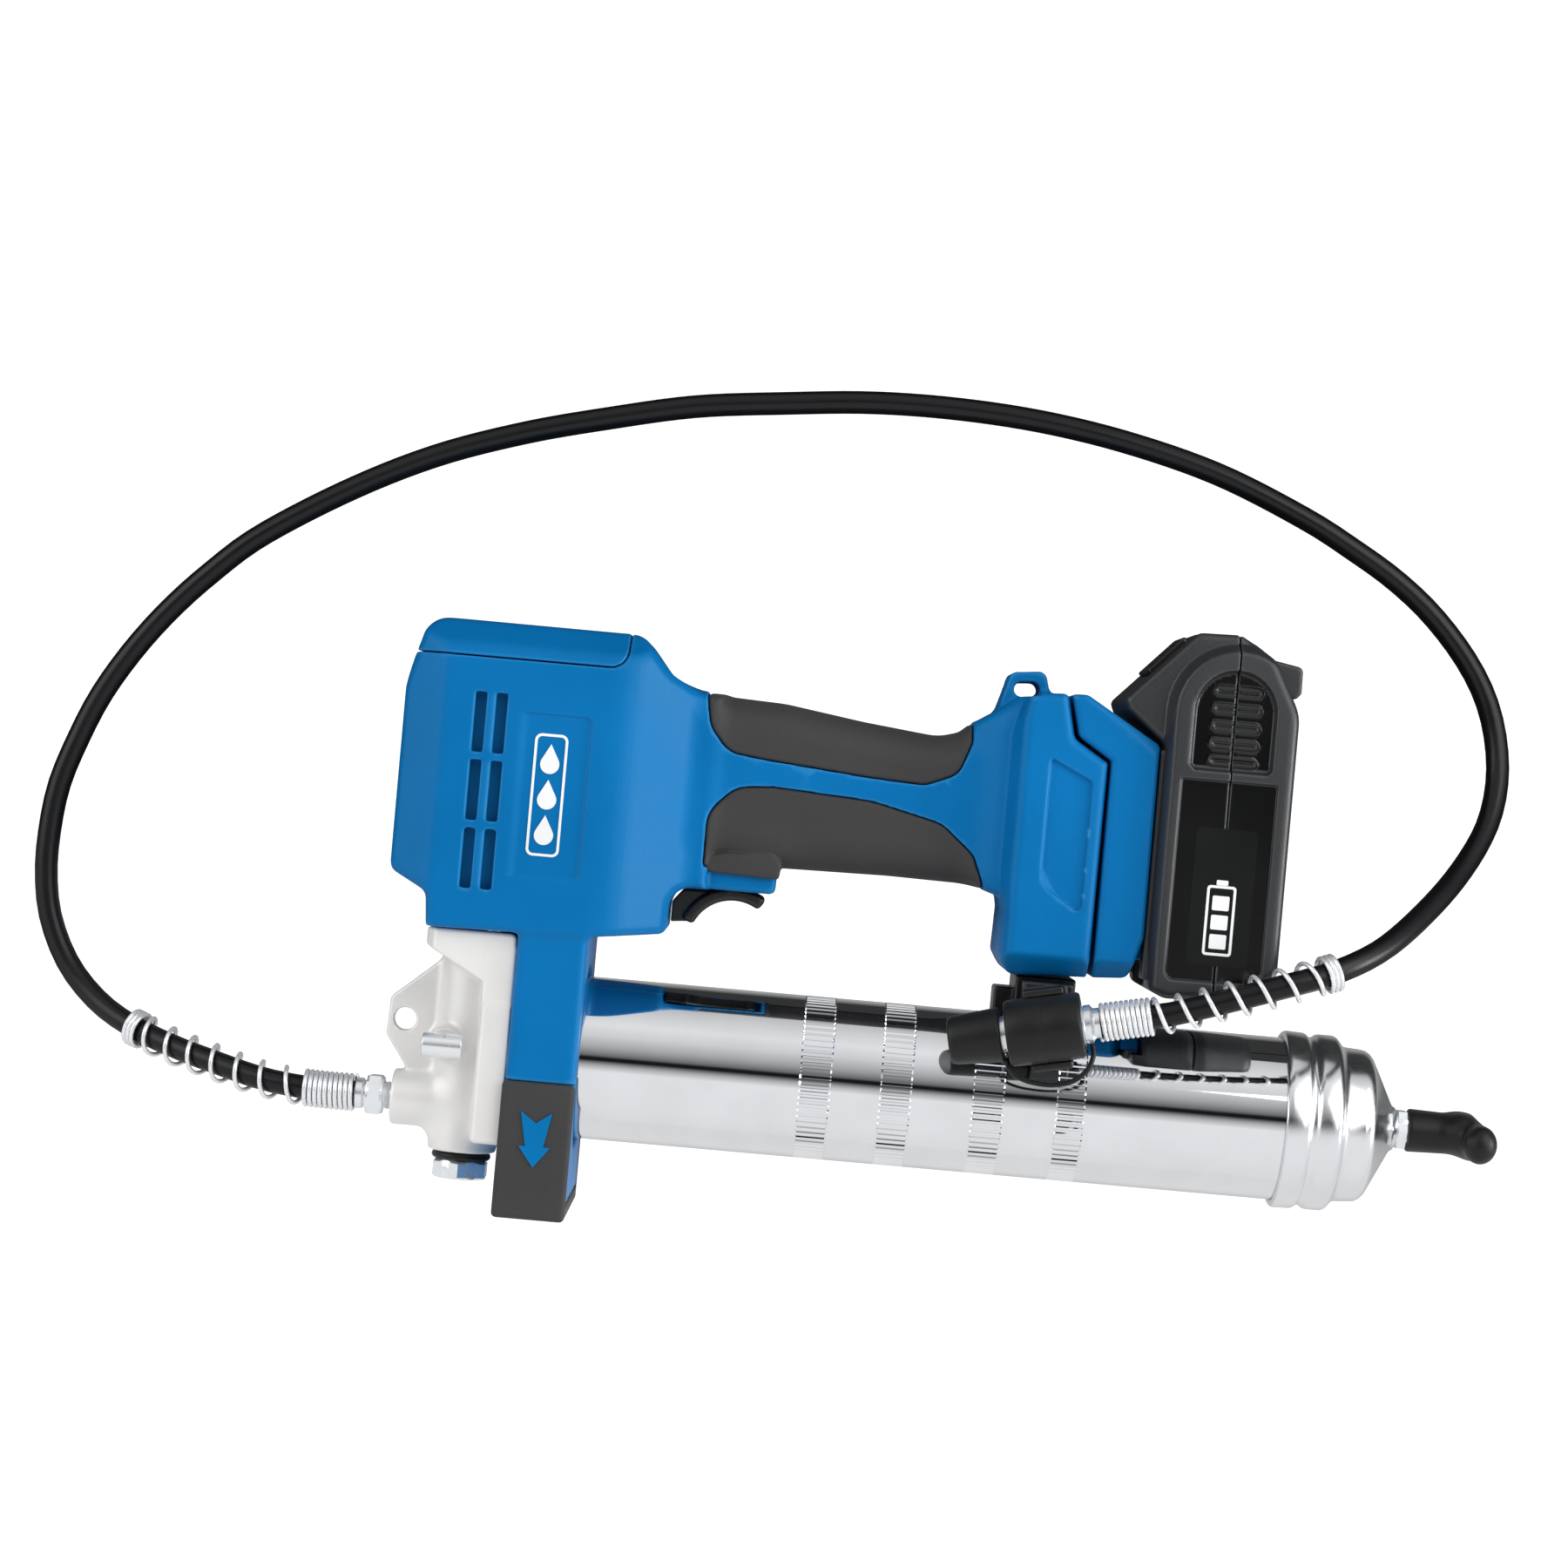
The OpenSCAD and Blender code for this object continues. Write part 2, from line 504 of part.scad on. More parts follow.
module shaft_bearings() color("#c5c8cc") place() for (x = [-66, -40, -21.5]) difference() {
    rod_x(x + 0.2, x + (x < -60 ? 4.8 : 2.8), 9, crank_y);
    rod_x(x - 1, x + 6, shaft_r + fit, crank_y);
}
module piston_yoke() color("#777b80") place() difference() {
    box([pump_x - 3, crank_y - 9, -17], [pump_x + 3, crank_y + 8, 17]);
    box([pump_x - 4, crank_y - 3.3, -12.5], [pump_x + 4, crank_y + 3.3, 12.5]);
}
module pump_piston() color("#cfd2d6") place() {
    rod_y(0, crank_y - 9, piston_r, pump_x);
    rod_y(crank_y - 14, crank_y - 9, piston_r + 0.6, pump_x);
}

// ---- Pump head ----
module pump_head() color("#dedcd8") place() difference() {
    union() {
        slab(flange_outline, -32, 32);
        box([head_x[0], -30.5, -33.3], [head_x[1], 30, 33.3]);
        rod_y(-36.5, 36, 12, pump_x);
        rod_x(-106, pump_x, 9.8, outlet_y);
        slab(lug_outline, -3, 3);
        rod_z(0, 14, 6, bleeder.x, bleeder.y);
        rod_x(-65.5, -42, collar_r);
    }
    rod_y(-14, 50, piston_r + fit, pump_x);
    rod_y(-50, -24, 7, pump_x);
    rod_y(-25, -13, 2.5, pump_x);
    rod_x(-107, -86, 5.1, outlet_y);
    rod_x(-90, pump_x, 2.2, outlet_y);
    rod_z(2, 20, 3 + fit, bleeder.x, bleeder.y);
    rod_x(-88, pump_x, 1.5, bleeder.y, 3);
    rod_x(pump_x, -60, 4, 6);
    rod_x(-64.5, -40, tube_r + fit);
    rod_z(-10, 10, lug_hole_d / 2, -103.6, 8.1);
    for (z = [-24, 24]) rod_y(20, 50, 2.1, -73, z);
}
module head_screws() color("#8a8f95") place() for (z = [-24, 24]) {
    rod_y(24, flange_top, 2, -73, z);
    rod_y(flange_top, flange_top + 4.2, 4, -73, z);
}
module pump_plug() color("#c9ccd0") place() {
    rod_y(-39.7, -24.2, 6.9, pump_x);
    translate([pump_x, -46, 0]) rotate([-90, 0, 0]) cylinder(d = 18.4 / cos(30), h = 6.4, $fn = 6);
}
module plug_seal() color("#1d1d1d") place() translate([pump_x, -38.05, 0]) rotate([-90, 0, 0])
    rotate_extrude() translate([9, 0]) circle(r = 1.4);
module check_ball() color("#d9dbde") place() translate([pump_x, -16.8, 0]) sphere(r = 2.2);
module check_spring() color("#9aa0a6") place()
    sweep(helix_y([pump_x, -23.8, 0], 4.4, 1.5, 3), 0.3, 6);
module bleeder_valve() color("#c9ccd0") place() {
    rod_z(4, 18, 3, bleeder.x, bleeder.y);
    rod_x(bleeder.x - 7, bleeder.x + 7, 4.25, bleeder.y, 21);
}

// ---- Barrel ----
module barrel_tube() color("#d5d5d3") place() difference() {
    rod_x(tube_start, tube_end, tube_r);
    rod_x(tube_start - 1, tube_end + 1, bore_r);
}
module barrel_gasket() color("#222222") place() difference() {
    rod_x(-64.4, -62.1, tube_r - 0.1);
    rod_x(-70, -60, 24);
}
module barrel_cap() color("#d5d5d3") place() difference() {
    turned_x([[cap_lip, tube_r + fit], [cap_lip, 31], [212.4, 31], [213.4, 29.7], [215.2, 29.7], [216.2, 30.8],
        [222.8, 30.8], [226.2, 27.2], [233.6, 26.6], [236, 25], [244.8, 8.4], [cap_end, 6.8],
        [cap_end, rod_r + fit], [237.5, rod_r + fit], [237.5, 12], [232.4, 24], [210.2, 26.5],
        [210.2, tube_r + fit]]);
}
module follower() color("#c9a227") place() {
    difference() {
        rod_x(follower_x, follower_x + follower_len, 26.6);
        rod_x(follower_x + 3, follower_x + 30, 24.6);
        rod_x(follower_x - 1, follower_x + 5, rod_r);
    }
}
module follower_seal() color("#1b1b1b") place() difference() {
    rod_x(follower_x - 3, follower_x, bore_r - 0.08);
    rod_x(follower_x - 5, follower_x + 1, rod_r);
}
module follower_spring() color("#8d9298") place()
    sweep(helix_x(follower_x + 4.4, spring_end, 21.5, 15), spring_wire / 2, 6);
module plunger_rod() color("#b8bbc0") place() rod_x(follower_x - 5, 272, rod_r);
module rod_nut() color("#c9ccd0") place() difference() {
    hex_x(cap_end + 0.3, 250.7, 13);
    rod_x(240, 260, rod_r);
}
module rod_handle() color("#26272a") place() difference() {
    union() {
        turned_x([[250.7, 0], [250.7, 7], [251.8, 7.6], [265, 7.4], [268, 6.4], [268, 0]]);
        rod_x(267, 274.4, 6.3);
        rod_z(-6.3, 20, 5.8, 274.4, -1.5);
    }
    rod_x(250, 272, rod_r);
}

// ---- Support between grip block and barrel, and the coupler's clip on it ----
module handle_support() color("#1c1d1f") place() difference() {
    union() {
        box([108, 20, -17], [128, 43.1, 17]);
        box([101.3, 20, -9], [108, 38.2, 9]);
    }
    rod_x(90, 140, tube_r + gap);
}
module coupler_clip() color("#1c1d1f") place() difference() {
    union() {
        at_coupler() rod_x(-6, 8, 14.2);
        box([110, 28, 17], [127, 42, 34]);
    }
    at_coupler() rod_x(-20, 20, 11.5 + gap);
    at_coupler() box([-20, -14, 3], [20, 16, 40]);
    rod_x(90, 140, tube_r + gap);
    box([100, 10, 46], [140, 60, 70]);
}

// ---- Hose and what is on it ----
module outlet_fitting() color("#c9ccd0") place() translate([0, outlet_y, 0]) difference() {
    union() {
        rod_x(-110, -90, 5);
        hex_x(-115, -109, 13.6);
    }
    rod_x(-120, -80, 2);
}
module hose_ferrule() color("#c9ccd0") place() translate([0, outlet_y, 0]) difference() {
    rod_x(-119, -115, 5.4);
    rod_x(-120, -80, 2);
}
module hose() color("#17181a") place() sweep(hose_route, hose_d / 2, 8);
guard_hole = hose_d / 2 + 0.35;
module outlet_guard() color("#b9bcc0") place()
    sleeve_sweep(outlet_run, guard_d / 2, guard_hole, 10);
module coupler_guard() color("#b9bcc0") place()
    sleeve_sweep(concat([for (i = [6:8]) rising_run[i]], coupler_run), guard_d / 2, guard_hole, 10);
module coupler_body() color("#c9ccd0") place() at_coupler() difference() {
    union() {
        rod_x(-30, -13.6, 6.2);
        rod_x(13.3, coupler_end, 6.2);
        rod_x(-13.6, 13.3, 7);
    }
    rod_x(-40, -20, 3.3);
}
module coupler_sleeve() color("#1f2022") place() at_coupler() difference() {
    rod_x(-13, 13, 11.5);
    rod_x(-20, 20, 7 + fit);
}
module dust_cap() color("#1f2022") place() at_coupler() difference() {
    turned_x([[-33, 0], [-33, 8], [-32, 8.6], [-15, 9.6], [-15, 6.2 + fit], [-30.3, 6.2 + fit], [-30.3, 0]]);
}
lanyard_route = [
    [-14.2, -8.2, 1], [-13.9, -11.5, 1.6], [-11.5, -14.6, 2], [-7, -17.2, 2], [0, -19, 2], [7, -18.6, 2],
    [12.5, -15.4, 2], [15.2, -11, 1], [15.4, -7, 0]
];
module cap_lanyard() color("#1f2022") place() at_coupler()
    sweep(lanyard_route, 0.9, 8);

// ---- Battery pack ----
cell_places = [[166.2, 60], [166.2, 80], [166.2, 100], [181.8, 70], [181.8, 90]];
cell_r = 9.1;
module pack_room(q) translate([0, 0, wall - half_w]) linear_extrude(2 * (half_w - wall)) polygon(q);
module battery_front_shell() color("#35363a") place() difference() {
    slab(pack_front_outline, -half_w, half_w);
    difference() {
        pack_room(pack_front_room);
        for (z = [-36, 24]) box([150, 48, z], [cell_places[0].x, 112, z + 12]);
    }
    for (c = cell_places) rod_z(-32.5, 32.5, cell_r, c.x, c.y);
    box([140, 30, -20.3], [rail_x[0] + gap, rail_y[1] + 5, 20.3]);
    box([rail_x[0] - gap, 30, -24.3], [rail_x[1] + gap, rail_y[1] + 5, 24.3]);
    box([rail_x[0], 56, -12], [157.5, 86, 12]);
    latch_well(0.25);
}
module battery_rear_shell() color("#35363a") place() difference() {
    slab(pack_rear_outline, -half_w, half_w);
    pack_room(pack_rear_room);
}
module battery_cells() color("#3c8f5a") place() for (c = cell_places) rod_z(-32.5, 32.5, cell_r, c.x, c.y);
// The release button sits in the pack's sloping nose
module at_latch() translate([latch_mid.x, latch_mid.y, 0]) rotate([0, 0, latch_tilt]) children();
module latch_well(room) at_latch() box([-9 - room, -4.6 - room, -16 - room], [9 + room, 6, 16 + room]);
module battery_latch() color("#202124") place() at_latch() difference() {
    box([-9, -1.2, -16], [9, 1.8, 16]);
    for (x = [-5, 0, 5]) box([x - 0.6, 1.1, -13], [x + 0.6, 3, 13]);
}

housing_left();
housing_right();
top_cover();
grip_upper();
grip_lower();
battery_adapter();
adapter_terminals();
foot_pad();
foot_arrows();
housing_screws();
trigger();
trigger_spring();
trigger_switch();
control_board();
wiring();
motor_can();
motor_end_bell();
motor_rotor();
motor_fan();
motor_pinion();
motor_plate();
end_plate();
crank_support();
idler_gear();
crank_gear();
crankshaft();
shaft_bearings();
piston_yoke();
pump_piston();
pump_head();
head_screws();
pump_plug();
plug_seal();
check_ball();
check_spring();
bleeder_valve();
barrel_tube();
barrel_gasket();
barrel_cap();
follower();
follower_seal();
follower_spring();
plunger_rod();
rod_nut();
rod_handle();
handle_support();
coupler_clip();
hose();
outlet_fitting();
hose_ferrule();
outlet_guard();
coupler_guard();
coupler_body();
coupler_sleeve();
dust_cap();
cap_lanyard();
battery_front_shell();
battery_rear_shell();
battery_cells();
battery_latch();
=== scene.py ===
"""Cordless grease gun: the looks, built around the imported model.

Shapes are drawn in the tool's own axes, in millimetres from the barrel's axis: x towards the pull
handle, y up through the grip, z out of the tool's left side. Moulded and cast pieces are distance
fields, meshed on a fine grid; turned pieces are profiles spun about an axis; springs and the hose
follow a path.
"""
import json
import math

import bpy
import numpy as np
import openvdb
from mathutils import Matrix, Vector


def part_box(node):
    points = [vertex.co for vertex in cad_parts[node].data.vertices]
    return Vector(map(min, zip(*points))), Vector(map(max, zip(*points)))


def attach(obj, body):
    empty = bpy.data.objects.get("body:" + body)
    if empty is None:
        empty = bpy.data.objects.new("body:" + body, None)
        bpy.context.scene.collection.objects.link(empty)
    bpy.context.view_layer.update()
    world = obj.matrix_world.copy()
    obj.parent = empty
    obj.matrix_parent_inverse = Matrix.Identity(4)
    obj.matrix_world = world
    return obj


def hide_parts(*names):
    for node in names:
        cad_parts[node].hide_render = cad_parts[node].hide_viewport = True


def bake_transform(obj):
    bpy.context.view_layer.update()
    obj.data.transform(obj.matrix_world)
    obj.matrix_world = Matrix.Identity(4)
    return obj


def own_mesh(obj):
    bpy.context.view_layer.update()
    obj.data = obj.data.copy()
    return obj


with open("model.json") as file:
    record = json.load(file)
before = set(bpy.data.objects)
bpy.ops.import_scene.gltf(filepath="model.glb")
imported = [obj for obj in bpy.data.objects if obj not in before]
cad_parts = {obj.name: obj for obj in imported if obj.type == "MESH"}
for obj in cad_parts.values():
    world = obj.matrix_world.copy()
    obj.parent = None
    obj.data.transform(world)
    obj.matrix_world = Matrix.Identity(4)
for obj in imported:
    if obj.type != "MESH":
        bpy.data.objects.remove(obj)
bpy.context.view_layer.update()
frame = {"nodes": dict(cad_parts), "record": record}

MM = 0.001
TUBE_START = -62
TUBE_R = 28.5
low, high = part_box("barrel_tube")
ORIGIN = np.array([low.x - TUBE_START * MM, (low.y + high.y) / 2, (low.z + high.z) / 2])


def row(points):
    """The tool's millimetres as metres in the row frame."""
    return np.asarray(points, float) * MM + ORIGIN


# ---- Outlines ----
def unit(v):
    v = np.asarray(v, float)
    return v / np.linalg.norm(v)


def rounded(corners, steps=6):
    """An outline from corners, each [x, y, rounding radius]."""
    out = []
    for i, b in enumerate(corners):
        p = np.array(b[:2], float)
        if not b[2]:
            out.append(tuple(p))
            continue
        to_a = unit(np.array(corners[i - 1][:2]) - p)
        to_c = unit(np.array(corners[(i + 1) % len(corners)][:2]) - p)
        half = math.acos(np.clip(to_a @ to_c, -1, 1)) / 2
        middle = p + unit(to_a + to_c) * b[2] / math.sin(half)
        start = p + to_a * b[2] / math.tan(half) - middle
        end = p + to_c * b[2] / math.tan(half) - middle
        turn = math.pi - 2 * half
        for k in range(steps + 1):
            t = k / steps
            out.append(tuple(middle + (start * math.sin(turn * (1 - t)) + end * math.sin(turn * t))
                             / math.sin(turn)))
    return out


def arc(centre, radius, start, end, steps):
    """Points on an arc, in degrees."""
    angles = np.radians(np.linspace(start, end, steps + 1))
    return [(centre[0] + radius * math.cos(a), centre[1] + radius * math.sin(a)) for a in angles]


# ---- Distance fields, negative inside ----
class Grid:
    """Points of a box in the tool's axes, as three arrays that broadcast together."""

    def __init__(self, low, high, cell):
        self.cell = cell
        self.low = np.array(low, float) - 2.5 * cell
        count = np.ceil((np.array(high, float) + 2.5 * cell - self.low) / cell).astype(int) + 1
        self.shape = tuple(count)
        x, y, z = [(self.low[i] + cell * np.arange(count[i])).astype(np.float32) for i in range(3)]
        self.x, self.y, self.z = x[:, None, None], y[None, :, None], z[None, None, :]


def outline(a, b, points):
    """Distance from the points (a, b) to a closed outline."""
    a, b = np.broadcast_arrays(a, b)
    best = np.full(a.shape, 1e9, np.float32)
    inside = np.zeros(a.shape, bool)
    for (px, py), (qx, qy) in zip(points, points[1:] + points[:1]):
        ex, ey = qx - px, qy - py
        if ex * ex + ey * ey < 1e-12:
            continue
        wx, wy = a - px, b - py
        t = np.clip((wx * ex + wy * ey) / (ex * ex + ey * ey), 0, 1)
        best = np.minimum(best, (wx - ex * t) ** 2 + (wy - ey * t) ** 2)
        if ey:
            inside ^= ((py > b) != (qy > b)) & (a < px + (b - py) * ex / ey)
    return (np.where(inside, -1, 1) * np.sqrt(best)).astype(np.float32)


def common(a, b, r=0.0):
    """Where both are, with the edge between them rounded."""
    if not r:
        return np.maximum(a, b)
    return np.minimum(np.maximum(a, b) + r, 0) + np.hypot(np.maximum(a + r, 0), np.maximum(b + r, 0)) - r


def join(a, b, k):
    """Both together, with a fillet."""
    h = np.clip(0.5 + 0.5 * (b - a) / k, 0, 1)
    return b + (a - b) * h - k * h * (1 - h)


def cut(a, b, r=0.0):
    """The first without the second, with the rim rounded."""
    return common(a, -b, r)


def flat(g, corners):
    """Distance to an outline drawn in x and y."""
    return outline(g.x, g.y, rounded(corners))


def extruded(g, corners, half, r=0.0):
    """An outline drawn in x and y, as thick on both sides of the middle plane."""
    return common(flat(g, corners), np.abs(g.z) - half, r)


def oblong(low, high, r):
    """The corners of an upright rectangle, all rounded alike."""
    return [[low[0], low[1], r], [high[0], low[1], r], [high[0], high[1], r], [low[0], high[1], r]]


def overlap(*fields):
    """Where all the fields are, with sharp edges."""
    d = fields[0]
    for field in fields[1:]:
        d = np.maximum(d, field)
    return d


def box(g, low, high, r=0.0):
    a = [np.maximum(l - c, c - h) + r for c, l, h in zip((g.x, g.y, g.z), low, high)]
    outside = np.sqrt(sum(np.maximum(v, 0) ** 2 for v in a))
    return outside + np.minimum(np.maximum(np.maximum(a[0], a[1]), a[2]), 0) - r


def rod(p, q, s, low, high, radius, centre, r):
    """A cylinder along s, centred in p and q."""
    return common(np.hypot(p - centre[0], q - centre[1]) - radius, np.maximum(low - s, s - high), r)


def rod_x(g, low, high, radius, y=0, z=0, r=0.0):
    return rod(g.y, g.z, g.x, low, high, radius, (y, z), r)


def rod_y(g, low, high, radius, x=0, z=0, r=0.0):
    return rod(g.x, g.z, g.y, low, high, radius, (x, z), r)


def rod_z(g, low, high, radius, x=0, y=0, r=0.0):
    return rod(g.x, g.y, g.z, low, high, radius, (x, y), r)


def slope(g, point, normal, z=None):
    """Everything behind a plane."""
    n = unit(normal)
    z = g.z if z is None else z
    return (g.x - point[0]) * n[0] + (g.y - point[1]) * n[1] + (z - point[2]) * n[2]


# ---- Meshes ----
ADAPTIVITY = 0.004   # how far the mesher may merge flat faces: 0 is not at all
WELD = 1e-5          # points closer than this, in millimetres, are one


def placed(name, data):
    """A new object in the scene."""
    thing = bpy.data.objects.new(name, data)
    bpy.context.scene.collection.objects.link(thing)
    return thing


def finish_mesh(name, points, faces, look, body, replaced=(), sharp=None, normals=None):
    """A named piece from points in the tool's axes, riding on a body."""
    mesh = bpy.data.meshes.new(name)
    mesh.from_pydata(row(points).tolist(), [], [list(map(int, f)) for f in faces])
    mesh.validate()
    mesh.shade_smooth()
    if sharp:
        mesh.set_sharp_from_angle(angle=math.radians(sharp))
    if normals is not None and len(normals) == len(mesh.vertices):
        mesh.normals_split_custom_set_from_vertices(normals.tolist())
    piece = placed(name, mesh)
    mesh.materials.append(LOOKS[look])
    if body:
        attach(piece, body)
    if replaced:
        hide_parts(*([replaced] if isinstance(replaced, str) else replaced))
    return piece


def field_normals(g, field, points):
    """The field's own slope at each point, which shades a flat or round face as such."""
    size = np.array(g.shape) - 1.001

    def at(index):
        index = np.clip(index, 0, size)
        i = index.astype(int)
        f = index - i
        value = 0
        for dx in (0, 1):
            for dy in (0, 1):
                for dz in (0, 1):
                    share = (abs(1 - dx - f[:, 0]) * abs(1 - dy - f[:, 1]) * abs(1 - dz - f[:, 2]))
                    value = value + share * field[i[:, 0] + dx, i[:, 1] + dy, i[:, 2] + dz]
        return value

    index = (points - g.low) / g.cell
    step = 0.45
    slopes = [at(index + step * np.eye(3)[k]) - at(index - step * np.eye(3)[k]) for k in range(3)]
    n = np.stack(slopes, 1)
    return n / np.maximum(np.linalg.norm(n, axis=1, keepdims=True), 1e-9)


def moulded(name, g, field, look, body, replaced, mirrored=False):
    """A piece meshed from a distance field, coarser where it is flat."""
    reach = 3 * g.cell
    field = np.ascontiguousarray(np.clip(np.broadcast_to(field, g.shape), -reach, reach), np.float32)
    volume = openvdb.FloatGrid(reach)
    volume.copyFromArray(field)
    volume.transform = openvdb.createLinearTransform(voxelSize=1.0)
    points, triangles, quads = volume.convertToPolygons(0.0, ADAPTIVITY)
    points = np.asarray(points, float) * g.cell + g.low
    normals = field_normals(g, field, points)
    faces = [tuple(f) for f in triangles] + [tuple(f) for f in quads]
    if mirrored:
        points = points * [1, 1, -1]
        faces = [f[::-1] for f in faces]
        normals = normals * [1, 1, -1]
    return finish_mesh(name, points, faces, look, body, replaced, normals=normals)


def axes_at(origin, along):
    """An origin with three axes, the first along a direction."""
    x = unit(along)
    side = unit(np.cross([0, 0, 1] if abs(x[2]) < 0.9 else [0, 1, 0], x))
    return np.array(origin, float), x, side, np.cross(x, side)


def turned(profile, place, sides, shape=None):
    """Points and faces of a profile of (along, radius) spun about an axis; shape bends the radius."""
    origin, x, p, q = place
    profile = np.array(profile, float)
    area = sum(a[0] * b[1] - b[0] * a[1] for a, b in zip(profile, np.roll(profile, -1, 0)))
    if area < 0:
        profile = profile[::-1]
    points, faces = [], []
    for along, radius in profile:
        for k in range(sides):
            angle = 2 * math.pi * k / sides
            r = shape(along, radius, angle) if shape else radius
            points.append(origin + x * along + r * (math.cos(angle) * p + math.sin(angle) * q))
    count = len(profile)
    for i in range(count):
        j = (i + 1) % count
        for k in range(sides):
            m = (k + 1) % sides
            faces.append((i * sides + k, i * sides + m, j * sides + m, j * sides + k))
    return weld(points, faces)


def spun(name, profile, place, sides, look, body, replaced, sharp=None, shape=None):
    """A piece turned from its profile."""
    return finish_mesh(name, *turned(profile, place, sides, shape), look, body, replaced, sharp=sharp)


def weld(points, faces):
    """Joins points that coincide and drops faces that vanish."""
    points = np.array(points)
    _, first, index = np.unique(np.round(points / WELD).astype(np.int64), axis=0, return_index=True,
                                return_inverse=True)
    index = index.reshape(-1)
    out = []
    for f in faces:
        g = [index[v] for v in f]
        g = [v for i, v in enumerate(g) if v != g[i - 1]]
        if len(set(g)) >= 3:
            out.append(tuple(g))
    return points[first], out


def add(parts):
    """Several meshes as one."""
    points, faces, start = [], [], 0
    for p, f in parts:
        points.append(np.asarray(p))
        faces += [tuple(v + start for v in face) for face in f]
        start += len(p)
    return np.concatenate(points), faces


def smooth_path(points, step):
    """A smooth line through the points, sampled at even steps, with its directions."""
    p = np.array(points, float)
    p = np.vstack([2 * p[0] - p[1], p, 2 * p[-1] - p[-2]])
    fine = []
    for i in range(1, len(p) - 2):
        for t in np.linspace(0, 1, 24, endpoint=False):
            a, b, c, d = p[i - 1:i + 3]
            fine.append(0.5 * (2 * b + (c - a) * t + (2 * a - 5 * b + 4 * c - d) * t * t
                               + (3 * b - a - 3 * c + d) * t ** 3))
    fine.append(p[-2])
    fine = np.array(fine)
    run = np.concatenate([[0], np.cumsum(np.linalg.norm(np.diff(fine, axis=0), axis=1))])
    stops = np.linspace(0, run[-1], max(2, int(round(run[-1] / step)) + 1))
    line = np.stack([np.interp(stops, run, fine[:, k]) for k in range(3)], 1)
    return line, np.gradient(line, axis=0), stops


def carried_axes(ahead):
    """Two side directions that follow a line's directions without twisting."""
    t = ahead / np.linalg.norm(ahead, axis=1, keepdims=True)
    side = unit(np.cross(t[0], [0, 0, 1] if abs(t[0][2]) < 0.9 else [0, 1, 0]))
    sides = []
    for d in t:
        side = unit(side - d * (side @ d))
        sides.append(side)
    sides = np.array(sides)
    return sides, np.cross(t, sides)


def tube(path, radius, around):
    """A round wire along a path, closed at both ends."""
    path = np.array(path, float)
    a, b = carried_axes(np.gradient(path, axis=0))
    angles = 2 * math.pi * np.arange(around) / around
    rings = (path[:, None] + radius * (np.cos(angles)[None, :, None] * a[:, None]
                                       + np.sin(angles)[None, :, None] * b[:, None]))
    points = np.concatenate([rings.reshape(-1, 3), path[:1], path[-1:]])
    faces, last = [], (len(path) - 1) * around
    for i in range(len(path) - 1):
        for k in range(around):
            m = (k + 1) % around
            faces.append((i * around + k, i * around + m, (i + 1) * around + m, (i + 1) * around + k))
    for k in range(around):
        m = (k + 1) % around
        faces.append((len(points) - 2, m, k))
        faces.append((len(points) - 1, last + k, last + m))
    return points, faces


def coil(path, pitches, radius, per_turn):
    """A wire's line that winds around a path; pitches are (length, turns) one after another."""
    line, ahead, stops = smooth_path(path, 0.5)
    a, b = carried_axes(ahead)
    where, turned_by = [0.0], [0.0]
    for length, turns in pitches:
        where.append(where[-1] + length)
        turned_by.append(turned_by[-1] + turns)
    turns = np.linspace(0, turned_by[-1], int(turned_by[-1] * per_turn) + 1)
    s = np.interp(turns, turned_by, where)
    at = [np.stack([np.interp(s, stops, v[:, k]) for k in range(3)], 1) for v in (line, a, b)]
    angle = 2 * math.pi * turns
    return at[0] + radius * (np.cos(angle)[:, None] * at[1] + np.sin(angle)[:, None] * at[2])


# ---- Looks ----
LOOKS = {}


def linear(hexcode):
    """A colour code as the linear values that shaders take."""
    values = [int(hexcode[i:i + 2], 16) / 255 for i in (0, 2, 4)]
    return tuple(v / 12.92 if v <= 0.04045 else ((v + 0.055) / 1.055) ** 2.4 for v in values) + (1,)


def grey_ramp(nodes, links, value, stops):
    """Grey levels along a value from 0 to 1."""
    ramp = nodes.new("ShaderNodeValToRGB")
    while len(ramp.color_ramp.elements) < len(stops):
        ramp.color_ramp.elements.new(0.5)
    for element, (place, level) in zip(ramp.color_ramp.elements, stops):
        element.position = place
        element.color = (level, level, level, 1)
    links.new(value, ramp.inputs["Fac"])
    return ramp.outputs["Color"]


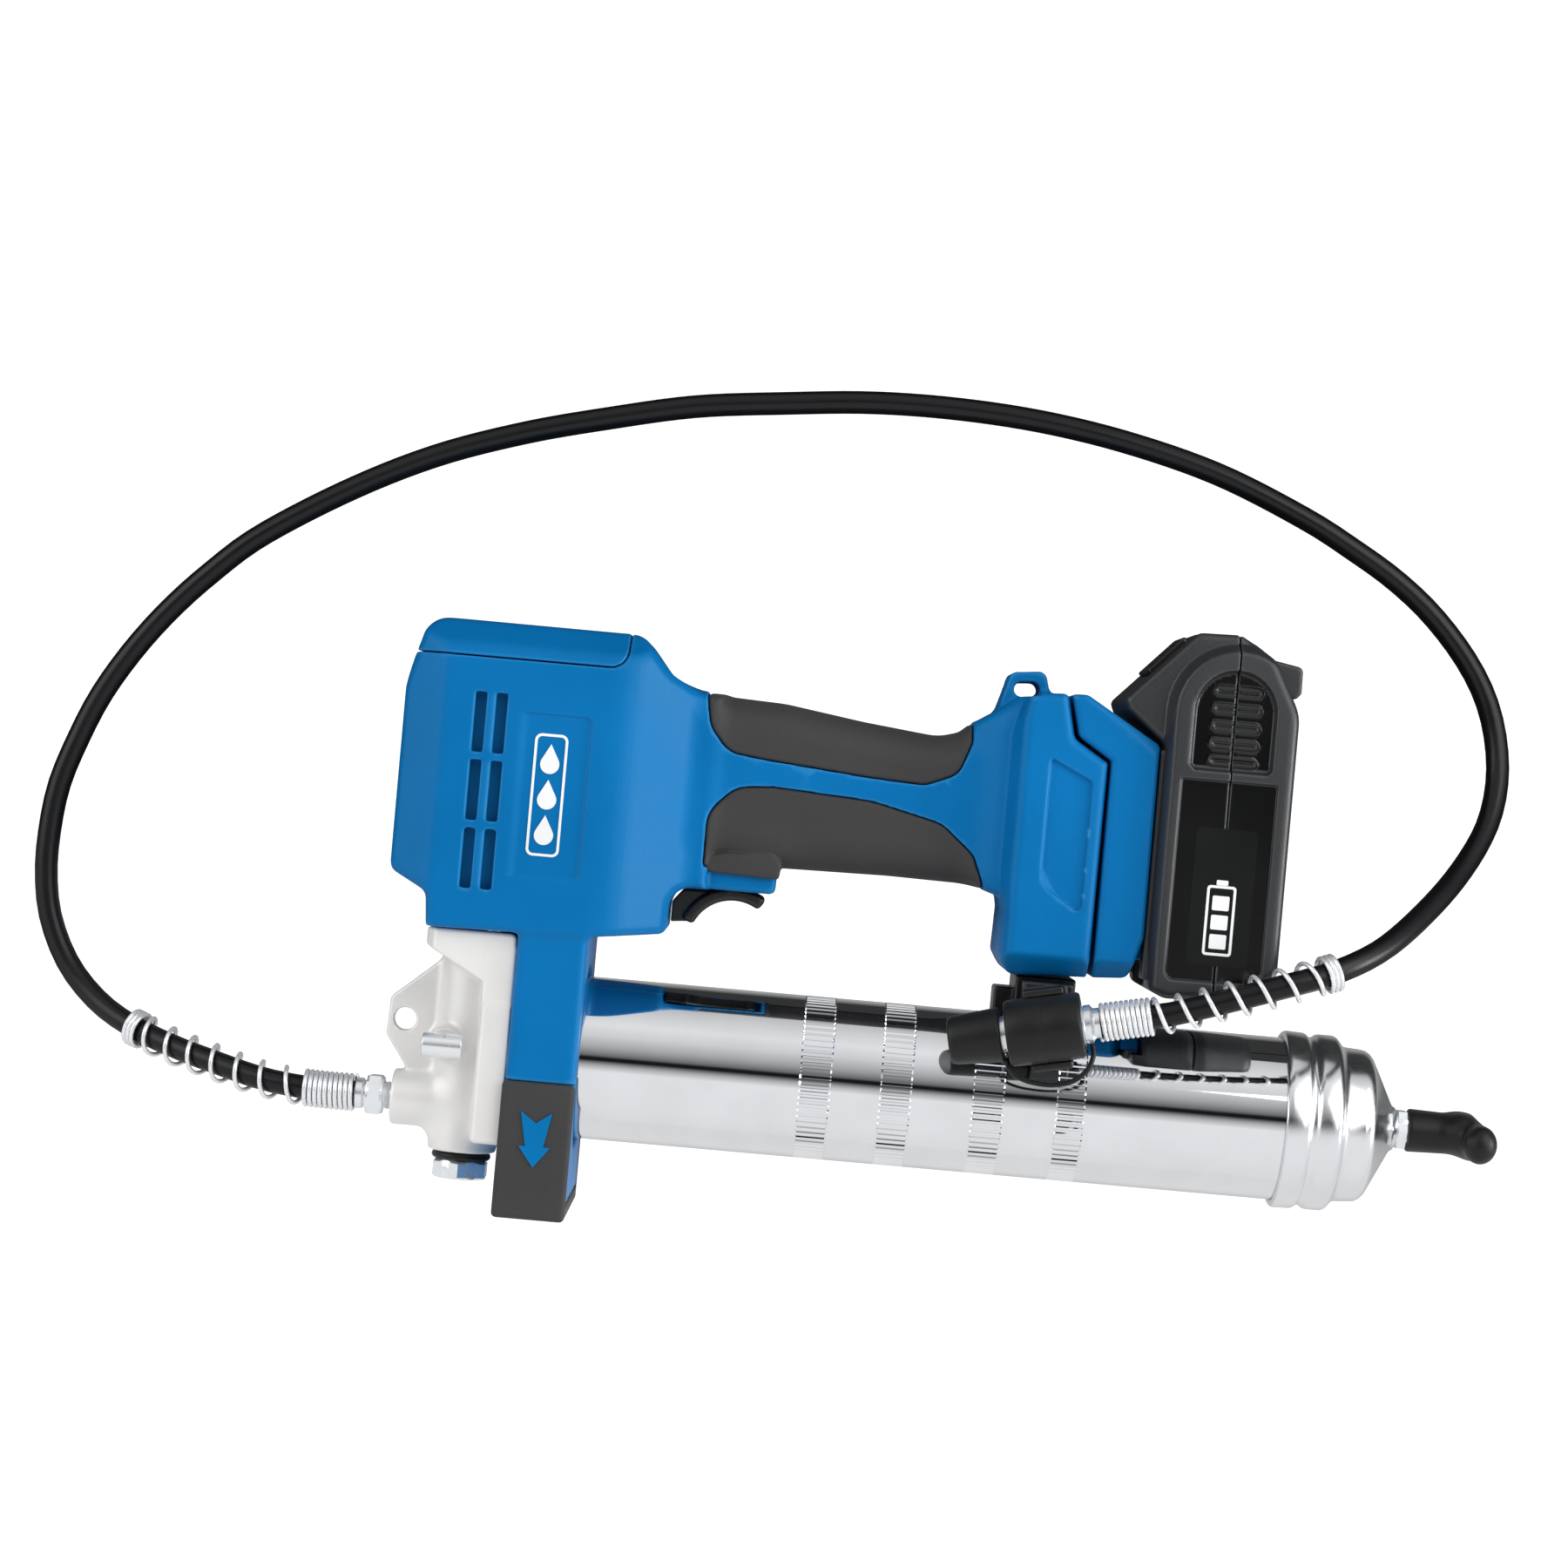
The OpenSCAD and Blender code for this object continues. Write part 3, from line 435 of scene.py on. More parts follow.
class Shader:
    """A material's nodes, wired one after another."""

    def __init__(self, name):
        self.material = bpy.data.materials.new(name)
        self.material.use_nodes = True
        self.nodes = self.material.node_tree.nodes
        self.links = self.material.node_tree.links
        self.main = self.nodes["Principled BSDF"]
        self.place = self.nodes.new("ShaderNodeTexCoord").outputs["Object"]

    def noise(self, scale, detail, rough=0.5, stretch=None):
        node = self.nodes.new("ShaderNodeTexNoise")
        node.inputs["Scale"].default_value = scale
        node.inputs["Detail"].default_value = detail
        node.inputs["Roughness"].default_value = rough
        place = self.place
        if stretch:
            turn = self.nodes.new("ShaderNodeMapping")
            turn.inputs["Scale"].default_value = stretch
            self.links.new(place, turn.inputs["Vector"])
            place = turn.outputs["Vector"]
        self.links.new(place, node.inputs["Vector"])
        return node.outputs["Fac"]

    def spread(self, value, low, high, start=0.3, end=0.7):
        """Carries start to end over to low to high."""
        node = self.nodes.new("ShaderNodeMapRange")
        for key, number in (("From Min", start), ("From Max", end), ("To Min", low), ("To Max", high)):
            node.inputs[key].default_value = number
        self.links.new(value, node.inputs["Value"])
        return node.outputs["Result"]

    def mix(self, share, a, b):
        node = self.nodes.new("ShaderNodeMix")
        node.data_type = "RGBA"
        for key, colour in ((6, a), (7, b)):
            if isinstance(colour, tuple):
                node.inputs[key].default_value = colour
            else:
                self.links.new(colour, node.inputs[key])
        self.links.new(share, node.inputs[0])
        return node.outputs[2]

    def edges(self):
        """1 along sharp edges, 0 elsewhere."""
        node = self.nodes.new("ShaderNodeNewGeometry")
        return self.spread(node.outputs["Pointiness"], 0.0, 1.0, 0.52, 0.6)

    def bump(self, height, strength, distance):
        node = self.nodes.new("ShaderNodeBump")
        node.inputs["Strength"].default_value = strength
        node.inputs["Distance"].default_value = distance
        self.links.new(height, node.inputs["Height"])
        return node.outputs["Normal"]

    def set(self, **values):
        for key, value in values.items():
            socket = self.main.inputs[key.replace("_", " ")]
            if isinstance(value, bpy.types.NodeSocket):
                self.links.new(value, socket)
            else:
                socket.default_value = value


MOTTLED = 0.88      # how dark plastic's darker patches are beside its own colour
DULLED = 0.9475     # and metal's


def plastic(name, colour, rough, grain, depth, light=None, shine=0.5, tint=(1, 1, 1, 1)):
    """Moulded plastic with a spark-eroded grain and, where a light colour is given, a painted highlight
    along its sharp edges.
    """
    s = Shader(name)
    base = linear(colour)
    dark = tuple(v * MOTTLED for v in base[:3]) + (1,)
    cloud = s.noise(22, 3)
    fine = s.noise(grain, 2, 0.6)
    tone = s.mix(s.spread(cloud, 0, 1), dark, base)
    if light:
        # Painted highlight: the light colour is mixed in along sharp convex edges, standing in for rims
        # that catch the light
        tone = s.mix(s.spread(s.edges(), 0, 0.55, 0, 1), tone, linear(light))
    s.set(Base_Color=tone, Roughness=s.spread(cloud, rough - 0.04, rough + 0.05))
    s.set(Normal=s.bump(fine, depth, 0.0003), Specular_IOR_Level=shine, Specular_Tint=tint)
    LOOKS[name] = s.material


def rubber(name, colour, rough, grain, depth):
    """Soft overmould: a fine grain, dusty where it is thin."""
    s = Shader(name)
    base = linear(colour)
    dusty = tuple(min(1, v * 1.4 + 0.003) for v in base[:3]) + (1,)
    cloud, fine = s.noise(35, 4), s.noise(grain, 3, 0.7)
    tone = s.mix(s.spread(cloud, 0, 0.35), base, dusty)
    s.set(Base_Color=tone, Roughness=s.spread(fine, rough - 0.08, rough + 0.06), Specular_IOR_Level=0.3)
    s.set(Normal=s.bump(fine, depth, 0.0004), Sheen_Weight=0.06, Sheen_Roughness=0.5)
    LOOKS[name] = s.material


def metal(name, colour, rough, grain, depth, stretch=None, metallic=1.0):
    """Bare or plated metal, with its machining or casting texture."""
    s = Shader(name)
    base = linear(colour)
    dull = tuple(v * DULLED for v in base[:3]) + (1,)
    cloud, fine = s.noise(60, 4), s.noise(grain, 3, 0.6, stretch)
    s.set(Base_Color=s.mix(s.spread(cloud, 0, 1), dull, base), Metallic=metallic)
    s.set(Roughness=s.spread(fine, max(0.02, rough * 0.8), rough * 1.25))
    s.set(Normal=s.bump(fine, depth, 0.0002))
    LOOKS[name] = s.material


# A plastic's second colour, where given, is the painted highlight along its edges
BLUE_SHINE = (0.4, 0.8, 1, 1)
plastic("housing_blue", "006DAE", 0.4, 2600, 0.22, "4FA3DA", shine=0.25, tint=BLUE_SHINE)
rubber("grip_rubber", "343334", 0.58, 3200, 0.25)
rubber("foot_grey", "343435", 0.66, 1800, 0.3)
plastic("arrow_blue", "0070B0", 0.45, 2400, 0.12, shine=0.22, tint=BLUE_SHINE)
plastic("pack_grey", "2B2D30", 0.38, 2800, 0.25, "6A6D72")
plastic("pack_gloss", "050606", 0.2, 1500, 0.03, "2C2E32")
plastic("pack_label", "07090A", 0.24, 1800, 0.05)
plastic("label_white", "F2F4F5", 0.4, 1800, 0.03)
plastic("black_plastic", "0E0F10", 0.34, 2200, 0.12, "34363A")
rubber("black_rubber", "08090A", 0.42, 2000, 0.16)
plastic("hose_black", "0A0B0E", 0.3, 1400, 0.12, shine=0.3)
metal("chrome", "E9EBEE", 0.05, 260, 0.01)
metal("chrome_satin", "E9EBEE", 0.2, 260, 0.01)
metal("zinc", "EEF1F4", 0.22, 1400, 0.02, metallic=0.75)
metal("steel", "70757C", 0.28, 900, 0.08, (1, 12, 12))
metal("spring_steel", "F2F3F6", 0.28, 900, 0.02, metallic=0.6)
metal("cast_silver", "ECEBE9", 0.42, 1500, 0.2, metallic=0.25)
metal("aluminium", "B8BBBF", 0.4, 1200, 0.12)
metal("gear_bronze", "B8924A", 0.35, 900, 0.08)
metal("copper", "B8693A", 0.32, 900, 0.1, (10, 1, 10))
metal("contact_brass", "C9A45A", 0.25, 900, 0.04)
plastic("board_green", "1E5B3A", 0.35, 900, 0.05)
plastic("wire_red", "A82A24", 0.4, 1200, 0.05)
plastic("cell_green", "3C8F5A", 0.32, 1200, 0.04)
rubber("seal_yellow", "C9A227", 0.5, 1500, 0.1)


# ---- Housing ----
HALF_W = 38
GRIP_HALF = 19
BLOCK_HALF = 33
COLUMN_HALF = 36
SHELL = 3
PAD = 4
SEAM = 0.12
BODY_OUTLINE = [
    [-96.4, 42.6, 1.5], [-40, 43.8, 0], [-14.4, 46.6, 3], [-14.4, 63.2, 7.5], [-2, 63.2, 0],
    [-2, 130.4, 0], [-9, 130.4, 8], [-20.5, 136.5, 14], [-31, 149.4, 10], [-104.2, 149.8, 9],
    [-112.2, 124, 10], [-112.2, 61.5, 4], [-97.5, 54.5, 4]]
BODY_PLAN = [
    [-112.2, -90, 0], [4, -90, 0], [4, 19, 0], [-9, 19, 10], [-35, 38, 24], [-96, 38, 6], [-112.2, 27.5, 6]]
BODY_SECTION = [[30, -90, 0], [150.2, -90, 0], [150.2, 22, 9], [139, 38, 10], [30, 38, 0]]
GRIP_SIDE = [
    [-18, 73.6, 0], [21.5, 72.3, 0], [60, 73, 0], [104, 72.4, 0], [104, 131, 0], [86, 127, 10],
    [74, 123.5, 18], [48, 126.2, 60], [20, 130.1, 40], [-4, 131, 6], [-18, 131, 0]]
UPPER_PAD = [
    [-7.6, 132, 2], [-5.5, 119.6, 12], [1.6, 111.2, 10], [14, 109.7, 8], [52, 106.6, 0],
    [70.7, 105.8, 10], [82, 110.6, 8], [86, 122, 2], [85.6, 132, 0]]
LOWER_PAD = [
    [-4, 71, 1], [94.2, 71, 0], [93.9, 72.4, 0], [89.4, 83.4, 9], [77.6, 93.2, 14], [52.5, 98.9, 40],
    [18, 100.8, 14], [5, 99.6, 12], [-4, 90, 12], [-4, 80, 0]]
LIP = [[-3.4, 69.2, 2.5], [22.9, 68.5, 1.5], [23.5, 75, 3], [19.8, 77.9, 3], [3.6, 76.6, 4], [-3.4, 75, 0]]
GUARD_OUTLINE = [[-14, 63.2, 0], [22, 63.2, 2], [22.3, 74, 0], [-14, 74, 0]]
BLOCK_OUTLINE = [
    [97.2, 80, 8], [100.8, 65.5, 5], [100.3, 50, 3], [104.5, 43.3, 4], [131.8, 44.6, 0], [132.2, 119, 0],
    [120.1, 126.4, 4], [116.7, 141.6, 2], [104, 141, 3], [97.2, 126, 10]]
BLOCK_FLANK = [
    [93.5, 72, 3], [108, 66, 0], [112, 142, 0], [104, 142, 4], [93.5, 134, 5], [84, 128, 6], [80, 100, 0],
    [86, 76, 3]]
BLOCK_PANEL = [[112.6, 119, 0.8], [112.4, 75.6, 1.2], [127.1, 66.4, 1.5], [127.1, 112, 2]]
STRAP_LUG = [[93.5, 134, 0], [114, 134, 0], [111.7, 141, 1], [109.4, 149.3, 3], [97.3, 148, 3]]
STRAP_EYE = [[98.8, 139.4, 2.7], [108, 140.1, 2.7], [107.8, 145.4, 2.7], [98.8, 144.6, 2.7]]
COLUMN = [[-64.6, -49.8, 2], [-40.4, -49.8, 2], [-40.4, 46, 0], [-64.6, 46, 0]]
COVER_SEAT = [[-120, 136.6, 0], [-35.1, 136.6, 6], [-35.1, 160, 0], [-120, 160, 0]]
SCREWS = [[-105, 72], [-103, 128], [-26, 130], [-52, -43.5], [62, 88], [108, 54], [110, 118]]
VENT_X = [-84, -76.9]
VENT_Y = [57, 80.4, 103.8]
VENT_HALF = 1.9
VENT_LENGTH = 20.6
FOOT_TOP = -7.4
BADGE_DEPTH = 1.5
PANEL_DEPTH = 1.5


def body_field(g):
    side = flat(g, BODY_OUTLINE)
    plan = outline(g.x, np.abs(g.z), rounded(BODY_PLAN))
    section = outline(g.y, np.abs(g.z), rounded(BODY_SECTION))
    return common(common(side, plan, 3.0), section, 2.0)


def grip_field(g):
    return extruded(g, GRIP_SIDE, GRIP_HALF, 12.5)


def handle_field(g):
    """The grip between the body and the block that holds the battery."""
    main = extruded(g, BLOCK_OUTLINE, BLOCK_HALF, 3.2)
    chamfer = slope(g, (104, 51.2, BLOCK_HALF), (0, -1, 0.8))
    main = common(main, np.where(g.z >= -1, chamfer, -50), 1.2)
    main = common(main, slope(g, (102.6, 100, BLOCK_HALF), (-1, 0, 0.42)), 2.5)
    flank = extruded(g, BLOCK_FLANK, 25, 7)
    flank = common(flank, slope(g, (97.5, 100, 24.5), (-0.62, 0, 1)), 3)
    lug = extruded(g, STRAP_LUG, 12, 1.2)
    block = join(join(flank, main, 0.8), lug, 1.5)
    return join(join(body_field(g), grip_field(g), 5), block, 4)


def housing_field(g):
    """The half on the +z side, without what only one half has."""
    d = handle_field(g)
    for pad in (UPPER_PAD, LOWER_PAD):
        d = cut(d, common(extruded(g, pad, 60), -(d + PAD)), 0.4)
    d = join(d, extruded(g, GUARD_OUTLINE, 14, 2), 1.5)
    column = extruded(g, COLUMN, COLUMN_HALF, 2.6)
    sleeve_seat = box(g, (-90, -90, COLUMN_HALF - 2.9), (-20, FOOT_TOP + 0.2, 90))
    d = join(d, cut(column, sleeve_seat, 0.3), 3)
    # What is cut out: barrel hole, pump neck, trigger slot, cover seat, strap eye
    d = cut(d, rod_x(g, -75, -35, 32.1), 0.8)
    d = cut(d, box(g, (-99, 30, -90), (-64.7, 42.7, 60)), 0.5)
    d = cut(d, box(g, (-13.8, 55, -90), (20.5, 79, 10.4)), 0.8)
    d = cut(d, extruded(g, COVER_SEAT, 90) - 0.15, 0.7)
    d = cut(d, extruded(g, STRAP_EYE, 60), 0.7)
    shell = common(d, -(d + SHELL))
    for x, y in SCREWS:
        boss = rod_z(g, -5, 60, 3.6, x, y)
        shell = np.minimum(shell, np.maximum(boss, d))
    screen = np.maximum(box(g, (-88.5, 54.6, 31), (-72.4, 127, 35.2)),
                        -box(g, (-90, 55.8, 32.2), (-70, 125.8, 40)))
    shell = np.minimum(shell, screen)
    return cut(shell, box(g, (125, 60, -90), (139, 110, 20)))


def side_details(g, d):
    """Vents, badge seat and block panel of one side."""
    for x in VENT_X:
        for y in VENT_Y:
            slot = flat(g, oblong((x - VENT_HALF, y), (x + VENT_HALF, y + VENT_LENGTH), 0.6))
            d = cut(d, overlap(slot, 33.5 - g.z), 0.45)
            d = cut(d, common(slot - 0.9, HALF_W - 0.45 - g.z), 0.5)
    floor = HALF_W - BADGE_DEPTH
    badge = flat(g, oblong((-71.4, 62.6), (-45.4, 118.6), 2.5))
    left_wall = slope(g, (-71.2, 90, HALF_W), (-BADGE_DEPTH, 0, -3.4))
    seat = common(common(badge, floor - g.z, 0.3), left_wall, 0.3)
    d = cut(d, seat, 0.5)
    panel = flat(g, BLOCK_PANEL)
    wedge = slope(g, (112.6, 75.6, BLOCK_HALF), (-PANEL_DEPTH, -0.6 * PANEL_DEPTH, -3.4))
    d = cut(d, common(common(panel, BLOCK_HALF - PANEL_DEPTH - g.z, 0.3), wedge, 0.3), 0.5)
    return d


def make_housing(cell):
    g = Grid((-112.5, -50, 0), (132.5, 150, HALF_W), cell)
    whole = side_details(g, housing_field(g))
    half = common(whole, SEAM - g.z, 0.5)
    left = half
    for x, y in SCREWS:
        left = cut(left, rod_z(g, -5, 11, 1.6, x, y))
    moulded("housing_left_shell", g, left, "housing_blue", "tool", "housing_left")
    right = half
    for x, y in SCREWS:
        right = cut(right, rod_z(g, -5, 60, 1.7, x, y))
        right = cut(right, rod_z(g, 10.1, 60, 3.4, x, y), 0.5)
    moulded("housing_right_shell", g, right, "housing_blue", "tool", "housing_right", mirrored=True)


def make_top_cover(cell):
    g = Grid((-113, 137, -HALF_W), (-35, 150, HALF_W), cell)
    seat = extruded(g, COVER_SEAT, 90)
    whole = body_field(g)
    d = common(whole, seat + 0.15, 0.7)
    d = common(d, -common(whole + SHELL, slope(g, (-60, 130, 0), (0, -1, 0))))
    moulded("top_cover_shell", g, d, "housing_blue", "tool", "top_cover")


def make_grip_pads(cell):
    g = Grid((-9, 68, -GRIP_HALF - 2), (97, 132, GRIP_HALF + 2), cell)
    grip = handle_field(g)
    for name, pad, node in (("grip_upper_pad", UPPER_PAD, "grip_upper"),
                            ("grip_lower_pad", LOWER_PAD, "grip_lower")):
        mask = extruded(g, pad, 60) + 0.3
        d = common(common(grip + 0.1, mask, 1.1), -(grip + PAD - 0.15))
        if pad is LOWER_PAD:
            d = join(d, extruded(g, LIP, 17, 1.2), 0.5)
            d = cut(d, box(g, (-20, 50, -14.1), (22.2, 74, 14.1)), 0.3)
            d = cut(d, box(g, (-20, 50, -10.4), (20.5, 79, 10.4)), 0.3)
            d = np.maximum(d, -(grip + PAD - 0.15))
        moulded(name, g, d, "grip_rubber", "tool", node)


# ---- Hose route ----
HOSE_D = 8.3
OUTLET_RUN = [
    [-119, -19.5, 0], [-130, -19.5, 0], [-141, -19, -0.5], [-154, -17.5, -3], [-170, -14, -7.5],
    [-187, -10, -14], [-204, -4.5, -21.5]]
ON_TABLE = -33.8
TABLE_RUN = [
    (-238, 31), (-241, 47), (-241, 63), (-239, 79), (-234, 95), (-227, 112), (-217, 129), (-205, 145),
    (-191, 160), (-174, 175), (-144, 194), (-114, 209), (-83, 220), (-53, 228), (-22, 235), (10, 239),
    (41, 242), (72, 242.5), (104, 240.5), (136, 235.5), (169, 227), (201, 214), (220, 204), (235, 195),
    (249, 184), (262, 170)]
RISING_RUN = [
    [276, 141, -32], [277, 125, -27], [273, 109, -18], [263, 93, -4], [249, 78, 14], [232, 64, 33],
    [215, 55, 44], [197, 48.5, 47.5], [180, 42.5, 47.3]]
COUPLER_MID = np.array([118, 26.4, 39])
COUPLER_RISE = math.radians(12.5)
COUPLER_LIFT = math.radians(7)
COUPLER_WAY = np.array([math.cos(COUPLER_LIFT) * math.cos(COUPLER_RISE),
                        math.cos(COUPLER_LIFT) * math.sin(COUPLER_RISE), math.sin(COUPLER_LIFT)])


def coupler_point(d):
    return list(COUPLER_MID + d * COUPLER_WAY)


HOSE_ROUTE = (OUTLET_RUN + [[-218, 3, -28.5], [-230, 15, -32.5]] + [[x, y, ON_TABLE] for x, y in TABLE_RUN]
              + [[271, 156, -33.6]] + RISING_RUN + [coupler_point(d) for d in (44, 32, 19)])


# ---- Foot and badge ----
def make_foot():
    """The rubber shoe over the column's end: a floor and two cheeks."""
    g = Grid((-65.4, -54.6, -36.8), (-40.2, FOOT_TOP, 36.8), 0.6)
    d = box(g, (-65.4, -54.6, -36.8), (-40.2, FOOT_TOP, 36.8), 1.7)
    d = cut(d, box(g, (-90, -49.7, -33.4), (-20, 20, 33.4)), 0.4)
    moulded("foot_shoe", g, d, "foot_grey", "tool", "foot_pad")


BADGE_MID = (-58.7, 91)
BADGE_HALF = (5.7, 21)


def ring_plate(outer, inner, z0, z1):
    """A flat frame between two outlines with equally many points."""
    n = len(outer)
    points = [(x, y, z) for z in (z0, z1) for loop in (outer, inner) for x, y in loop]
    faces = []
    for k in range(n):
        m = (k + 1) % n
        faces += [(k, n + k, n + m, m), (2 * n + k, 2 * n + m, 3 * n + m, 3 * n + k),
                  (k, m, 2 * n + m, 2 * n + k), (n + m, n + k, 3 * n + k, 3 * n + m)]
    return points, faces


def plate(loop, z0, z1):
    n = len(loop)
    points = [(x, y, z) for z in (z0, z1) for x, y in loop]
    faces = [tuple(range(n - 1, -1, -1)), tuple(range(n, 2 * n))]
    faces += [(k, (k + 1) % n, n + (k + 1) % n, n + k) for k in range(n)]
    return points, faces


def frame_loop(centre, half, radius):
    (x, y), (a, b) = centre, half
    return rounded(oblong((x - a, y - b), (x + a, y + b), radius), 8)


def drop_loop(x, y, r):
    """An oil drop with its point towards +y."""
    return arc((x, y), r, 150, 390, 20) + [(x, y + 2.1 * r)]


def make_badge():
    """A plain frame around three oil drops, printed in the badge seat."""
    floor = HALF_W - BADGE_DEPTH
    outer = frame_loop(BADGE_MID, BADGE_HALF, 2.4)
    inner = frame_loop(BADGE_MID, (BADGE_HALF[0] - 0.9, BADGE_HALF[1] - 0.9), 1.6)
    parts = [ring_plate(outer, inner, floor - 0.2, floor + 0.25)]
    for step in (-1, 0, 1):
        parts.append(plate(drop_loop(BADGE_MID[0], BADGE_MID[1] + 12.2 * step - 1.6, 3.3), floor - 0.2,
                           floor + 0.25))
    piece = finish_mesh("badge_print", *add(parts), "label_white", "tool", sharp=30)


# ---- Battery adapter ----
ADAPTER = [
    [133.2, 44.7, 1], [145.5, 45.6, 3], [149.6, 60, 3], [149.4, 126.6, 2], [123.2, 141.8, 3],
    [117.8, 141.6, 1], [121.4, 127.2, 4], [133.2, 119.8, 1]]
RAIL_Y = (52, 92)
RAIL_X = (152.5, 155.5)


def make_adapter():
    g = Grid((117, 44.5, -BLOCK_HALF), (156, 142, BLOCK_HALF), 0.6)
    depth = np.abs(g.z)
    d = extruded(g, ADAPTER, BLOCK_HALF, 2.0)
    d = common(d, slope(g, (149.1, 122.4, BLOCK_HALF), (47.25, 65.5, 126.2), depth), 0.6)
    d = common(d, slope(g, (133, 51.2, BLOCK_HALF), (0, -1, 0.8), depth), 1.0)
    d = np.minimum(d, box(g, (149, RAIL_Y[0], -20), (RAIL_X[0] + 0.5, RAIL_Y[1], 20)))
    d = np.minimum(d, box(g, (RAIL_X[0], RAIL_Y[0], -24), (RAIL_X[1], RAIL_Y[1], 24), 0.4))
    for low, high in (((116, 62, -20), (146.5, 116, 20)), ((145.5, 58, -12), (166, 86, 12)),
                      ((116, 116, -24), (141.5, 132, 24))):
        d = cut(d, box(g, low, high), 0.3)
    moulded("adapter_shell", g, d, "housing_blue", "tool", "battery_adapter")


# ---- Pump head ----
PUMP_X = -80
OUTLET_Y = -19.5
HEAD_X = (-75.4, -64.8)
HEAD_HALF = 32.6
COLLAR_R = 31.9
FLANGE = [[-64.8, 18, 0], [-64.8, 42.5, 2.2], [-96.2, 42.5, 1.2], [-96.2, 36.4, 2], [-75.4, 25.2, 0],
          [-75.4, 18, 0]]
LUG = [[-88, 30.5, 0], [-92.2, 30.5, 0], [-109.3, 15.6, 3], [-109.8, 2.2, 3], [-101.8, -9, 2],
       [-88, -16, 0]]
WEB = [[-96, -20, 0], [-92, -30.5, 4], [-84, -35.5, 0], [-80, -20, 0]]
BLEEDER = (-88.1, 1.3)


def make_pump_head():
    g = Grid((-110, -38, -33.3), (-42, 42.6, 33.3), 0.6)
    depth = np.abs(g.z)
    flange = extruded(g, FLANGE, HEAD_HALF, 1.2)
    flange = common(flange, slope(g, (-93, 40, HEAD_HALF), (-1, 0, 0.8), depth), 0.8)
    block = box(g, (HEAD_X[0], -30.5, -HEAD_HALF), (HEAD_X[1] + 3, 38, HEAD_HALF), 2.2)
    block = np.maximum(block, g.x - HEAD_X[1])
    d = join(flange, block, 1.2)
    d = join(d, rod_x(g, HEAD_X[1] - 4, -42, COLLAR_R, r=0.6), 0.4)
    d = join(d, rod_y(g, -36.5, 34, 12, PUMP_X, r=1.2), 3.5)
    d = join(d, rod_x(g, -106, PUMP_X, 9.8, OUTLET_Y, r=1.2), 4)
    d = join(d, extruded(g, WEB, 5, 1.5), 4)
    d = join(d, extruded(g, LUG, 3, 1.0), 2.5)
    d = join(d, rod_z(g, 0, 14, 6, *BLEEDER, r=1), 2.5)
    holes = (rod_y(g, -14, 60, 4.1, PUMP_X), rod_y(g, -60, -24, 7, PUMP_X), rod_y(g, -25, -13, 2.5, PUMP_X),
             rod_x(g, -120, -86, 5.1, OUTLET_Y), rod_x(g, -90, PUMP_X, 2.2, OUTLET_Y),
             rod_z(g, 2, 20, 3.1, *BLEEDER), rod_x(g, PUMP_X, -60, 4, 6),
             rod_x(g, -64.5, -30, TUBE_R + 0.1), rod_z(g, -10, 10, 4, -103.6, 8.1),
             rod_y(g, 20, 60, 2.1, -73, 24), rod_y(g, 20, 60, 2.1, -73, -24))
    for hole in holes:
        d = cut(d, hole, 0.5)
    moulded("pump_casting", g, d, "cast_silver", "tool", "pump_head")


def nut(place, start, end, across, bore, chamfer):
    """A hexagon along an axis, with its corners turned down at both ends."""
    def sides(along, radius, angle):
        turn = (angle + math.pi / 6) % (math.pi / 3) - math.pi / 6
        return min(radius, across / 2 / math.cos(turn))

    r = across / 2 / math.cos(math.pi / 6)
    profile = [(start, bore), (start, across / 2 - 0.3), (start + chamfer, r), (end - chamfer, r),
               (end, across / 2 - 0.3), (end, bore)]
    return turned(profile, place, 144, sides)


X_AXIS = axes_at((0, 0, 0), (1, 0, 0))
SEAL_Y = -38.05


def make_plug():
    down = axes_at((PUMP_X, 0, 0), (0, 1, 0))
    stem = [(-39.7, 0.01), (-39.7, 6.9), (-24.2, 6.9), (-24.2, 0.01)]
    mesh = add([nut(down, -46, -39.6, 18.4, 0.01, 0.8), turned(stem, down, 48)])
    finish_mesh("plug_hex", *mesh, "zinc", "tool", "pump_plug", sharp=25)
    ring = [(SEAL_Y + v, 9 + u) for u, v in arc((0, 0), 1.4, 0, 330, 11)]
    spun("plug_ring", ring, down, 64, "black_rubber", "tool", "plug_seal")


def make_bleeder():
    """The bleeder's stem with the cross bar that turns it."""
    x, y = BLEEDER
    g = Grid((x - 7.1, y - 4.4, 3.8), (x + 7.1, y + 4.4, 25.4), 0.25)
    bar = rod_x(g, x - 7, x + 7, 4.25, y, 21, r=0.5)
    bar = cut(bar, box(g, (x - 0.7, y + 3, 19), (x + 0.7, y + 9, 26)), 0.2)
    d = join(bar, rod_z(g, 4, 19, 3, x, y), 0.6)
    moulded("bleeder_bar", g, d, "zinc", "bleeder", "bleeder_valve")


# ---- Barrel ----
KNURLS = [(36, 47), (64, 75), (96, 107), (125, 135)]
KNURL_RIDGES = 78


def make_barrel_tube():
    """The chromed tube, with four bands of fine ridges."""
    def ridges(along, radius, angle):
        if radius < TUBE_R - 0.2 or not any(a + 0.5 <= along <= b - 0.5 for a, b in KNURLS):
            return radius
        return radius - 0.42 * float(np.clip(0.5 - 1.1 * math.cos(KNURL_RIDGES * angle), 0, 1))

    bore = TUBE_R - 1.2
    profile = [(-62, bore), (-62, TUBE_R - 0.3), (-61.7, TUBE_R)]
    for a, b in KNURLS:
        profile += [(a, TUBE_R), (a + 0.5, TUBE_R), (b - 0.5, TUBE_R), (b, TUBE_R)]
    profile += [(209.3, TUBE_R), (209.6, TUBE_R - 0.3), (209.6, bore)]
    spun("barrel_chrome", profile, X_AXIS, KNURL_RIDGES * 6, "chrome", "barrel", "barrel_tube", 22, ridges)


